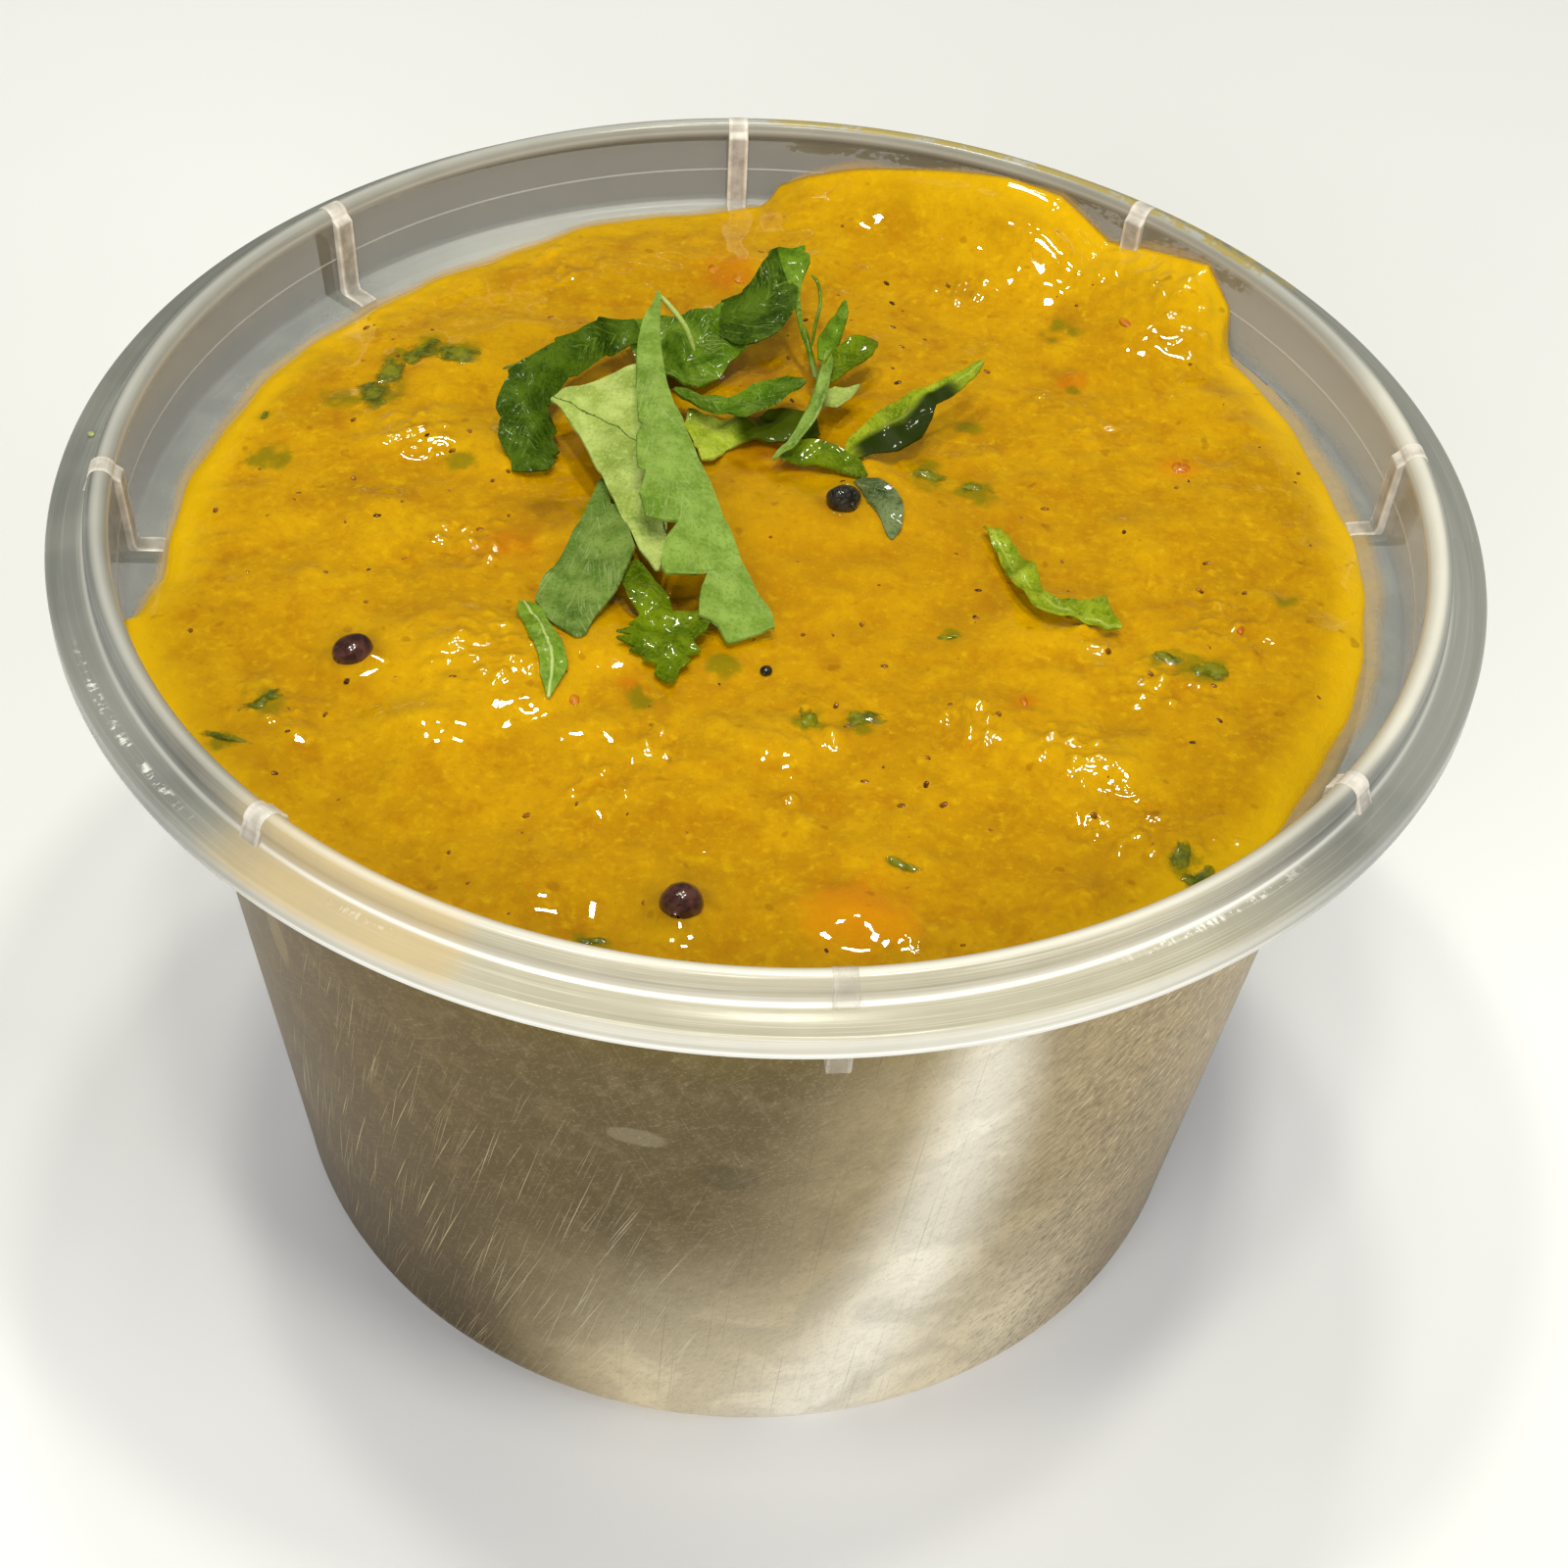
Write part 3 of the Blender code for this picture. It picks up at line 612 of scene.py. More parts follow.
def rib_outline():
    """Radius and height round one rib: a bar on the ledge, a block on the wall, a cap on the bead."""
    bead_r = (BEAD_OUTER_RADIUS - NECK_TOP_RADIUS) / 2 + PROUD
    bead = (NECK_TOP_RADIUS + bead_r - PROUD, BEAD_TOP_Z - bead_r + PROUD)
    wall_z = np.linspace(LEDGE_Z + 0.6, bead[1] - 0.2, 8)
    return np.vstack([
        [(50.9, 66.55), (50.9, 67.5)],
        arc((LEDGE_INNER_RADIUS, LEDGE_Z - LEDGE_ROUND), LEDGE_ROUND + PROUD, 105, 90, 3),
        [(53.2, LEDGE_Z + PROUD)],
        np.column_stack([neck_radius(wall_z) - BLOCK, wall_z]),
        arc(bead, bead_r, 165, 0, 9),
        [(56.9, FLANGE_Z + 0.35), (57.3, FLANGE_Z - 0.6), (56.3, 66.55)],
    ])


def rib_points():
    """Four rows across all the ribs: the outline, moved sideways and turned. The outer two rows
    close the faces, and the two between them keep the middle of the strip clear of the edges."""
    outline = rib_outline()
    count, rows = len(outline), len(RIB_ROWS)
    turn = np.radians(RIB_TURNS)[:, None, None]
    side = np.array(RIB_ROWS)[None, :, None] * RIB_THICK
    r = outline[:, 0][None, None]
    x = r * np.cos(turn) - side * np.sin(turn)
    y = r * np.sin(turn) + side * np.cos(turn)
    z = np.broadcast_to(outline[:, 1], x.shape)
    points = np.stack([x, y, z], -1).reshape(-1, 3)
    base = (np.arange(len(RIB_TURNS)) * rows * count)[:, None, None]
    row = base + (np.arange(rows) * count)[None, :, None] + np.arange(count)[None, None]
    after = np.roll(row, -1, axis=2)
    rims = np.stack([row[:, :-1], after[:, :-1], after[:, 1:], row[:, 1:]], -1).reshape(-1, 4)
    return points, row[:, 0, ::-1], row[:, -1], rims


ribs = put_mesh("tub_ribs", *rib_points())
row_edges = np.repeat([1.0, 0.0, 0.0, 1.0], len(rib_outline()))
paint(ribs, "edge", np.tile(row_edges, len(RIB_TURNS)))
ribs.data.shade_flat()
soften = ribs.modifiers.new("Soften", "BEVEL")
soften.width = 0.12 * MM
soften.segments = 2
soften.limit_method = "ANGLE"


# %% [markdown]
# The plastic is dark grey where it is thin and a lighter grey where it is thick. The rim is
# painted cream at the front as painted light, with the dal seen through it painted as an orange
# stretch at the front left, and a painted highlight as a thin white line at the skirt's foot.
# The ledge is painted lighter at the back as painted light, and the thin lines and the small
# bright spots along the rim are painted highlights. The bead has a pale inner band on the
# right. Light scratches run outwards across the flange, and mustard smears are dried on the
# back right of the rim. Angles round the bowl are in degrees from +X.

# %% Cloudy plastic
def plastic_finish():
    """Thin wall, ledge and rim each have their tones, and the three painted marks join them."""
    board = Board("cloudy_tub_plastic", {"IOR": 1.45})
    place = board.place()
    x, y, z = board.parts(place)
    turned_by = y.math("ARCTAN2", y, x) * (180 / math.pi) + 360
    turn = turned_by - 360 * turned_by.fade(359.999, 360.001)
    radius = (x * x + y * y) ** 0.5
    cloud, inner, line = board.read("cloud"), board.read("inner"), board.read("line")
    outward = board.vector("SCALE", board.vector("NORMALIZE", board.join(x, y, 0.0)), scale=55.0)
    strokes = board.noise(outward, 0.40, 2.0, 0.6)
    glint_noise = board.noise(place, 0.9, 3.0, 0.7, 0.8)
    broad = board.noise(outward, 9.0, 2.0)
    rings = board.noise(board.join(radius * 7.0, z * 7.0, turn * 0.05), 1.0, 3.0, 0.6)
    film = board.noise(place, 4.0, 3.0)
    fine = board.noise(place, 0.7, 3.0, 0.7)
    front = turn.fade(222, 246) * turn.fade(324, 298)
    right = turn.fade(75, 25) + turn.fade(318, 345)
    thin = board.mix(film, (0.105, 0.098, 0.072), (0.155, 0.146, 0.112))
    thin = board.mix(right * 0.85, thin, (0.40, 0.365, 0.265))
    ledge = board.mix(film.fade(0.4, 0.6), (0.19, 0.200, 0.180), (0.25, 0.260, 0.235))
    # Painted light: the ledge at the back, where light falls on it, is painted lighter.
    ledge = board.mix(turn.fade(60, 80) * turn.fade(150, 120) * 0.8, ledge, (0.58, 0.58, 0.52))
    grey = board.mix(broad.fade(0.35, 0.65), (0.195, 0.200, 0.182), (0.255, 0.260, 0.235))
    grey = board.mix(turn.fade(318, 345) + turn.fade(60, 20), grey, (0.280, 0.285, 0.260))
    # Painted light: the rim at the front, where light falls on it, is painted a pale beige instead of grey.
    painted_front_cream = board.mix(film, (0.46, 0.425, 0.315), (0.58, 0.540, 0.415))
    rim = board.mix(front, grey, painted_front_cream)
    left_front = turn.fade(222, 230) * turn.fade(262, 246)
    streaked = front * (1.0 - 0.7 * left_front)
    rim = board.mix(rings.fade(0.50, 0.66) * (0.08 + 0.36 * streaked), rim, (0.85, 0.83, 0.73))
    rim = board.mix(rings.fade(0.44, 0.30) * (0.08 + 0.16 * streaked), rim, (0.20, 0.190, 0.150))
    band = radius.fade(54.2, 54.6) * radius.fade(56.3, 55.6) * (turn.fade(318, 334) + turn.fade(27, 14))
    rim = board.mix(band * (0.60 + 0.30 * film), rim, (0.80, 0.765, 0.650))
    # Painted highlight: a thin white line along the skirt's foot at the front.
    painted_foot_highlight = radius.fade(58.9, 59.3) * z.fade(72.95, 72.55) * front
    rim = board.mix(painted_foot_highlight, rim, (1.0, 0.99, 0.94))
    colour = board.mix(z.fade(68.6, 68.2), thin, ledge)
    colour = board.mix(cloud, colour, rim)
    beside = turn.fade(224, 234) * turn.fade(352, 330)
    milk = board.mix(left_front, (0.62, 0.560, 0.42), (0.46, 0.400, 0.275))
    colour = board.mix(inner * (0.25 + 0.60 * beside), colour, milk)
    # Painted light: the dal seen through the rim at the front left, painted as an orange stretch.
    painted_dal_show_through = turn.fade(226, 234) * turn.fade(252, 249) * z.fade(73.0, 74.0)
    colour = board.mix(painted_dal_show_through * (0.35 + 0.45 * film), colour, (0.68, 0.50, 0.23))
    # Painted highlight: the thin lines marked on the profile are painted near white, brightest at the front.
    bright = 0.55 + 0.80 * front - 0.25 * left_front
    colour = board.mix((line * bright).least(1.0), colour, (1.0, 0.98, 0.90))

    def painted_glint(at_radius, start, end):
        """Painted highlight: a stretch of small bright spots along the rim."""
        stretch = turn.fade(start, start + 7) * turn.fade(end, end - 7) * z.fade(73.0, 74.0)
        ring = abs(radius - at_radius).fade(0.50, 0.10)
        return stretch * ring * (glint_noise * 0.6 + strokes * 0.4).fade(0.50, 0.60)

    # Painted highlights: small bright spots along the rim at the front left and front right.
    painted_glints = painted_glint(58.3, 203, 228) + painted_glint(57.4, 238, 247) + painted_glint(57.0, 296, 318)
    colour = board.mix(painted_glints * 0.8, colour, (1.0, 0.98, 0.92))
    alpha = 0.56 + 0.32 * cloud + 0.12 * line
    dried = turn.fade(30, 42) * turn.fade(98, 90) * radius.fade(54.5, 55.0) * z.fade(72.6, 73.2)
    smear = (dried * 0.60 + (film - 0.5) * 1.0 + (fine - 0.5) * 1.0).fade(0.40, 0.60) * dried
    colour = board.mix(smear * 0.9, colour, (0.42, 0.33, 0.085))
    alpha = alpha.most(smear * 0.95)
    board.feed("Base Color", colour)
    board.feed("Alpha", alpha.least(1.0))
    board.feed("Roughness", 0.15 + fine * 0.10)
    scuffed = turn.fade(196, 214) * turn.fade(246, 232) + turn.fade(292, 300) * turn.fade(332, 318)
    board.bump(strokes * (0.04 + 0.96 * scuffed) * cloud.fade(0.4, 0.9), 0.04)
    return board


def rib_finish():
    """Milky plastic, denser at the edges and the cap, and fainter on the rib at the front."""
    board = Board("milky_ribs", {"IOR": 1.45, "Roughness": 0.25})
    place = board.place()
    x, y, z = board.parts(place)
    facing = y.fade(-40.0, -48.0) * abs(x).fade(26.0, 18.0)
    milk = board.noise(place, 1.5, 3.0)
    edge, cap = board.read("edge"), z.fade(75.0, 75.6)
    board.feed("Base Color", board.mix(milk.fade(0.3, 0.7), (0.58, 0.54, 0.46), (0.82, 0.76, 0.68)))
    solid = (0.36 + milk * 0.30 + edge * 0.65 + cap * 0.4).least(1.0)
    board.feed("Alpha", solid * (1.0 - 0.6 * facing))
    board.bump(milk, 0.03)
    return board


dress(tub, plastic_finish(), "tub_plastic")
dress(ribs, rib_finish(), "tub_plastic")


# %% [markdown]
# ## The dal's surface
# Thick dal never lies flat. It is a low dome with soft lumps of split lentils, it climbs the
# wall at the back right, it covers the ledge along the front, and elsewhere it stops on the
# ledge's rounded lip. The big shape repeats the frame's own formula, and finer relief is
# added: waves of a few millimetres made by filtering noise, and two hundred small domes.

# %% Filtered noise
SHEET = 128.0  # millimetres across the noise sheet
CELLS = 512


def waves(seed, length, spread=0.45):
    """A square of random waves near one length: white noise, whose transform is multiplied by
    exp(-(log(length x frequency) / spread)^2), scaled so that its standard deviation is one."""
    white = np.random.default_rng(seed).standard_normal((CELLS, CELLS))
    step = SHEET / CELLS
    up = np.fft.fftfreq(CELLS, step)[:, None]
    right = np.fft.rfftfreq(CELLS, step)[None]
    frequency = np.hypot(up, right) + 1e-9
    kept = np.exp(-(np.log(frequency * length) / spread) ** 2)
    field = np.fft.irfft2(np.fft.rfft2(white) * kept, s=(CELLS, CELLS))
    return field / field.std()


def read_waves(field, x, y):
    """Straight-line mixing of the four cells round each point."""
    u = (np.asarray(x) / SHEET * CELLS) % CELLS
    v = (np.asarray(y) / SHEET * CELLS) % CELLS
    i, j = u.astype(int), v.astype(int)
    a, b = u - i, v - j
    i, j = i % CELLS, j % CELLS
    k, m = (i + 1) % CELLS, (j + 1) % CELLS
    return (field[j, i] * (1 - a) * (1 - b) + field[j, k] * a * (1 - b)
            + field[m, i] * (1 - a) * b + field[m, k] * a * b)


def smooth(share):
    """3 s^2 - 2 s^3, which goes from 0 to 1 with no corner at either end."""
    share = np.clip(share, 0, 1)
    return share * share * (3 - 2 * share)


LONG_WAVES, MEDIUM_WAVES = waves(11, 13.0), waves(12, 4.6)
SHORT_WAVES, FINE_WAVES = waves(13, 2.1), waves(14, 1.05)
PATCHES = waves(15, 17.0)
print("waves made:", LONG_WAVES.shape)

# %% The large shape
# The tables pair degrees from +X with how far the dal climbs the wall, whether it covers the
# ledge, and the radius where it ends.
DAL_LEVEL = 68.5
DAL_DOME = 0.5
DAL_FREE_EDGE = 50.95
CLIMB_START_RADIUS = 37.0
CLIMB_POWER = 1.7
CLIMB = [(37, 0), (41, 3.2), (44, 5.6), (50, 4.2), (56, 2.8), (62, 5.6), (68, 5.8),
         (76, 4.6), (84, 3.4), (89, 2.0), (94, 0)]
REACH = [(34, 0), (40, 1), (92, 1), (98, 0), (191, 0), (197, 1), (298, 1), (306, 0)]
IN_WALL = 54.05  # an edge this far out is inside the plastic of the upright wall
EDGE = [(11, 51.0), (19, 51.3), (25, 51.8), (32, 52.6), (37, 53.0), (40.5, IN_WALL), (92, IN_WALL),
        (94, 53.1), (102, 52.1), (113, 51.7), (118, 51.1), (125, 50.5), (167, 50.5), (173, 50.8),
        (190, 51.2), (194, 52.6), (197, IN_WALL), (298, IN_WALL), (302, 52.6), (307, 50.9),
        (331, 50.5), (350, 50.8)]


def round_the_bowl(table, degrees):
    """Read a table of (degrees, value) pairs at any angle, joining its end to its start."""
    angles, values = np.array(table, float).T
    return np.interp(degrees, angles, values, period=360)


def sunflower_lumps(x, y, count=34, height=0.75, width=3.4):
    """Rounded lumps on a sunflower spread, of uneven height and width, as in the frame."""
    number = np.arange(count)
    angle = number * math.radians(137.5)
    radius = 48.0 * np.sqrt((number + 0.5) / count)
    heights = height * (0.55 + 0.45 * np.sin(number * 2.3))
    widths = width * (1.0 + 0.35 * np.cos(number * 1.7))
    return domes(x, y, radius * np.cos(angle), radius * np.sin(angle), heights, widths)


def domes(x, y, at_x, at_y, heights, widths):
    """The sum of height x exp(-distance^2 / (2 width^2)), added one dome at a time."""
    total = np.zeros(np.shape(x))
    for px, py, height, width in zip(at_x, at_y, heights, widths):
        total += height * np.exp(-((x - px) ** 2 + (y - py) ** 2) / (2 * width**2))
    return total


def dal_level(x, y):
    """The frame's surface: a low dome, lumps, the climb at the back right, and the edge."""
    radius = np.hypot(x, y)
    degrees = np.degrees(np.arctan2(y, x)) % 360
    level = DAL_LEVEL + DAL_DOME * (1 - (radius / DAL_FREE_EDGE) ** 2) + sunflower_lumps(x, y)
    share = np.clip((radius - CLIMB_START_RADIUS) / (NECK_FOOT_RADIUS - CLIMB_START_RADIUS), 0, 1)
    climb = round_the_bowl(CLIMB, degrees) * share**CLIMB_POWER
    near_edge = smooth((radius - 46.0) / 5.0)
    reach = round_the_bowl(REACH, degrees)
    return level + climb + near_edge * (0.6 * reach - 0.35 * (1 - reach))


# %% Ridges, hollows and lentils
# Mounds and hollows that stand out: x, y, height, half-length, half-width, turn in degrees.
MOUNDS = [
    (-20.5, -15.5, 1.1, 7.0, 3.2, 8), (-21.5, -21.0, 1.1, 6.0, 1.7, 35), (-7.4, -8.0, -0.9, 2.6, 2.4, 0),
    (1.0, 3.8, 0.8, 8.0, 3.0, 8), (8.8, -43.2, 1.5, 3.2, 1.9, 0), (0.8, -25.0, 0.6, 2.2, 1.3, -25),
    (25.6, -5.8, 0.5, 2.4, 1.8, 0), (29.4, -23.2, 0.5, 2.0, 1.7, 0), (-30.0, 11.5, 0.8, 3.0, 2.0, 20),
    (18.0, -19.6, 0.5, 2.2, 1.8, 0), (-27.0, 28.0, 0.5, 3.6, 2.0, 30), (22.0, 44.0, 0.7, 9.0, 2.4, -35),
    (37.0, 34.0, 0.6, 3.0, 2.4, -50), (-13.0, -1.0, 0.4, 3.0, 2.0, 0), (33.0, 6.0, 0.4, 4.0, 2.4, 40),
    (-34.0, -3.0, 0.4, 4.0, 2.2, 60), (-3.5, 41.0, 0.4, 6.0, 2.4, 5), (20.0, 22.0, 0.3, 5.0, 2.2, 30),
    (26.0, -16.0, 0.4, 3.0, 2.0, 20), (-32.7, -18.4, 1.1, 1.9, 1.7, 0), (-4.5, -43.4, 1.3, 1.9, 1.8, 0),
    (28.6, -25.4, 0.8, 2.6, 1.5, -20), (24.0, -10.6, 0.5, 2.4, 1.3, -10),
    (6.0, 4.6, 0.35, 2.3, 2.0, 0), (-12.0, -24.5, 0.5, 2.0, 1.4, 0), (-29.0, 21.0, 0.5, 5.0, 2.4, 60),
    (-25.2, -25.7, 0.8, 2.8, 1.2, 5), (-19.6, -22.8, 0.8, 2.6, 1.2, 35), (20.8, 45.0, 0.5, 7.0, 1.1, -32),
]
CALM = [(8.8, -44.0, 3.6), (-3.8, -45.2, 2.4)]  # smooth places, as MOUNDS' x and y and a radius
LENTILS = 200
# Where grains break the surface: x, y and how far the spot spreads.
GRAIN_SPOTS = [(-22, -17, 5), (-12, -31, 2.5), (4, -31, 2), (17, -21, 3), (25, -23, 3.5), (29, -31, 3.5),
               (39, 32, 3), (29, 19, 2.5), (24, 23, 2), (27, -9, 2.5), (38, -7, 4), (33, -15, 3),
               (-32, 12, 3.5), (-25, -3, 4), (32, 43, 4.5), (36, 37, 3.5), (16, 39, 2.5), (12, 10, 2),
               (-7, -9, 3), (4, -23, 3), (-22, 40, 3), (14, -45, 3.5), (-38, -24, 3), (37, -32, 3),
               (-7, -26, 3)]


def mounds(x, y):
    """Stretched domes: each is height x exp(-(u^2 + v^2) / 2) in its own turned axes."""
    total = np.zeros(np.shape(x))
    for px, py, height, long, wide, turn in MOUNDS:
        c, s = math.cos(math.radians(turn)), math.sin(math.radians(turn))
        u = ((x - px) * c + (y - py) * s) / long
        v = (-(x - px) * s + (y - py) * c) / wide
        total += height * np.exp(-(u * u + v * v) / 2)
    return total


def lentil_field():
    """Small domes thrown at random, more of them where the patches are high."""
    rng = np.random.default_rng(21)
    spot = rng.uniform(-50, 50, (LENTILS * 6, 2))
    wanted = read_waves(PATCHES, *spot.T) + rng.normal(0, 0.5, len(spot)) > 0.1
    spot = spot[wanted & (np.hypot(*spot.T) < 49)][:LENTILS]
    width = rng.uniform(0.40, 0.85, len(spot))
    height = width * rng.uniform(0.12, 0.34, len(spot))
    return spot[:, 0], spot[:, 1], height, width


LENTIL_DOMES = lentil_field()


def relief(x, y):
    """Mounds, soft waves, and grains in spots: rounded tops wherever the short waves are high."""
    at = np.array(GRAIN_SPOTS, float)
    spot = np.clip(domes(x, y, at[:, 0], at[:, 1], np.ones(len(at)), at[:, 2] * 0.7), 0, 1)
    rippled = (0.05 + 0.05 * spot) * read_waves(MEDIUM_WAVES, x, y)
    grains = 0.42 * np.clip(read_waves(SHORT_WAVES, y, x) - 0.3, 0, 1.6) ** 0.8
    specks = 0.22 * np.clip(read_waves(FINE_WAVES, x, y) - 0.6, 0, 1.5) ** 0.8
    calm = np.array(CALM)
    smoothed = domes(x, y, calm[:, 0], calm[:, 1], np.full(len(calm), 1.4), calm[:, 2] * 0.6)
    rough = 1 - np.clip(smoothed, 0, 0.9)
    fine_relief = rippled + spot * (grains + specks) + domes(x, y, *LENTIL_DOMES)
    return mounds(x, y) + 0.11 * read_waves(LONG_WAVES, x, y) + rough * fine_relief


print("lentils:", len(LENTIL_DOMES[0]))


# %% [markdown]
# The dal is one closed piece. Its top is a square sheet of points wrapped into a disc, which
# keeps the cells about equal and needs no pole in the middle. Each point's distance from the
# centre is stretched to the edge for its direction. At the edge the surface rounds down to the
# plastic and goes a little way into it, so that no gap of air shows, and rings then carry it
# down inside the tub to the floor.

# %% Build the dal
DAL_CELLS = 276
SIDE_HEIGHTS = np.linspace(55.0, 6.2, 5)  # rings on the straight part of the body's wall
FLOOR_RING_Z = 3.4


def edge_radius(degrees):
    """Where the dal ends, with small waves wherever it isn't against the wall."""
    edge = round_the_bowl(EDGE, degrees)
    a = np.radians(degrees)
    wobble = 0.16 * np.sin(7 * a + 1) + 0.12 * np.sin(17 * a) + 0.08 * np.sin(41 * a + 2)
    return edge + wobble * smooth((IN_WALL - edge) / 1.0)


def tub_top(radius):
    """Height of the plastic under a point: the rounded lip inside, then the ledge."""
    inside = np.clip(LEDGE_INNER_RADIUS - radius, 0, LEDGE_ROUND)
    return LEDGE_Z - LEDGE_ROUND + np.sqrt(LEDGE_ROUND**2 - inside**2)


def dal_surface(x, y):
    """Full height of the dal, rounded down to the plastic over its last millimetre or so."""
    radius = np.hypot(x, y)
    degrees = np.degrees(np.arctan2(y, x)) % 360
    edge = edge_radius(degrees)
    top = dal_level(x, y) + relief(x, y) * smooth((edge + 0.5 - radius) / 3.0)
    free = smooth((IN_WALL - edge) / 0.8)
    from_edge = np.clip((edge - radius) / 1.5, 0, 1)
    rounding = np.sqrt(1 - (1 - from_edge) ** 2)
    base = tub_top(radius) - 0.06
    resting = base + (top - base) * rounding
    against_wall = top + 0.25 * np.exp(-np.clip(edge - radius, 0, None) / 0.5)
    return against_wall + (resting - against_wall) * free


def wrap_square(cells):
    """Square sheet to unit disc: the larger of |a| and |b| is the distance from the centre,
    and the other one, divided by it, is an eighth of a turn."""
    line = np.linspace(-1, 1, cells + 1)
    a, b = np.meshgrid(line, line)
    wide = np.abs(a) > np.abs(b)
    far = np.where(wide, a, b)
    safe = np.where(far == 0, 1, far)
    angle = np.where(wide, math.pi / 4 * b / safe, math.pi / 2 - math.pi / 4 * a / safe)
    return far * np.cos(angle), far * np.sin(angle)


def rim_order(cells):
    """Numbers of the sheet's border points, once round."""
    corner = np.arange((cells + 1) ** 2).reshape(cells + 1, cells + 1)
    return np.concatenate([corner[0, :-1], corner[:-1, -1], corner[-1, :0:-1], corner[:0:-1, 0]])


def dal_body():
    """The wrapped sheet, then rings from its border down inside the tub, closed by one point."""
    unit_x, unit_y = wrap_square(DAL_CELLS)
    degrees = np.degrees(np.arctan2(unit_y, unit_x)) % 360
    edge = edge_radius(degrees)
    x, y = unit_x * edge, unit_y * edge
    z = dal_surface(x, y)
    top = np.stack([x, y, z], -1).reshape(-1, 3)
    border = rim_order(DAL_CELLS)
    rim = top[border]
    angle = np.arctan2(rim[:, 1], rim[:, 0])
    out = np.hypot(rim[:, 0], rim[:, 1])
    skin = 0.12  # how far the dal goes into the plastic
    floor = TUB_FLOOR_Z + TUB_WALL - skin
    over_lip = np.minimum(out, LEDGE_INNER_RADIUS)
    rings = [(out, np.minimum(rim[:, 2] - 0.02, LEDGE_Z - skin)),
             (over_lip - 0.1, tub_top(over_lip) - skin - 0.05),
             (49.75, 66.75), (49.2 + skin, 65.2)]
    rings += [(tub_inner_radius(h) + skin, h) for h in SIDE_HEIGHTS]
    foot = tub_inner_radius(6.0)
    rings += [(foot - 1.2 + skin, FLOOR_RING_Z), (foot - 4.0, floor)]
    below = [np.column_stack([r * np.cos(angle), r * np.sin(angle), np.broadcast_to(h, len(rim))])
             for r, h in rings]
    points = np.vstack([top] + below + [np.array([(0.0, 0.0, floor)])])
    count = len(border)
    lower = len(top) + np.arange(len(rings) * count).reshape(len(rings), count)
    loops = np.vstack([border, lower])
    after = np.roll(loops, -1, axis=1)
    sides = np.stack([loops[:-1], loops[1:], after[1:], after[:-1]], -1).reshape(-1, 4)
    last = np.full(count, len(points) - 1)
    fan = np.column_stack([loops[-1], last, after[-1]])
    return points, grid_faces(DAL_CELLS + 1, DAL_CELLS + 1), sides, fan


dal_points, *dal_faces = dal_body()
dal = put_mesh("dal_body", dal_points, *dal_faces)
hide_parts("dal")


# %% [markdown]
# The dal's colour is a deep golden yellow. It is lemon at the rim, where it is thin, a little
# browner in the middle, rusty in patches where the fried spices have bled, orange over one
# soft lump at the front, and green where chopped coriander lies just below the surface. Painted
# shade makes it brown in the hollow under the leaves and round the larger seeds. Those large
# patches are painted on the points as masks, and the material adds the fine grain, so the
# pattern has detail at both scales.

# %% Painted masks
# Each spot is x, y and a radius.
HERB_STAINS = [(-36.0, 17.5, 2.2), (-35.2, 22.6, 1.4), (-32.4, 24.4, 1.5), (-28.9, 23.2, 1.3),
               (-39.9, 15.8, 1.6), (-44.0, 7.0, 2.0), (-45.6, 13.2, 0.8), (-38.8, -23.9, 1.8),
               (-40.9, -28.9, 1.2), (33.2, -11.9, 1.4), (36.8, -12.8, 1.6), (4.2, -21.9, 1.6),
               (8.5, -21.8, 1.4), (11.9, -37.3, 1.0), (33.6, -34.5, 1.8), (-9.2, -20.6, 1.4),
               (13.2, 10.1, 2.0), (17.5, 8.2, 1.8), (16.7, 17.8, 1.2), (25.3, 33.4, 1.8), (15.3, -10.7, 1.0),
               (-27.5, 8.4, 1.6), (-10.6, -46.7, 1.2), (-14.5, 2.5, 1.8), (26.8, 24.8, 0.8),
               (44.0, -2.6, 1.2), (-3.0, -16.0, 1.6)]
RUST_STAINS = [(-6.2, 39.8, 2.6), (35.9, 14.5, 1.3), (21.4, -17.9, 0.9), (8.7, -42.2, 3.4),
               (-10.5, -19.3, 1.0), (-1.0, 12.5, 3.0), (26.5, 26.0, 1.4), (-22.0, -3.0, 2.0),
               (-5.9, 40.4, 1.5)]
# Painted shade: darker spots in the hollow under the leaves and round the three larger seeds.
PAINTED_SHADE_SPOTS = [(-7.4, -8.2, 2.6), (-9.0, 4.0, 4.0), (-1.0, 11.5, 3.4), (-14.0, 10.0, 3.0),
                (-19.0, 2.0, 2.0), (5.9, 4.6, 2.2), (-4.5, -42.9, 2.6), (-32.7, -18.0, 2.2)]


def stains(x, y, spots, ragged, soft=0.75):
    """Soft round spots, whose edges the waves make uneven, cut off at one."""
    at = np.array(spots)
    mask = domes(x, y, at[:, 0], at[:, 1], np.ones(len(at)), at[:, 2] * soft)
    return np.clip(mask * (1 + ragged), 0, 1)


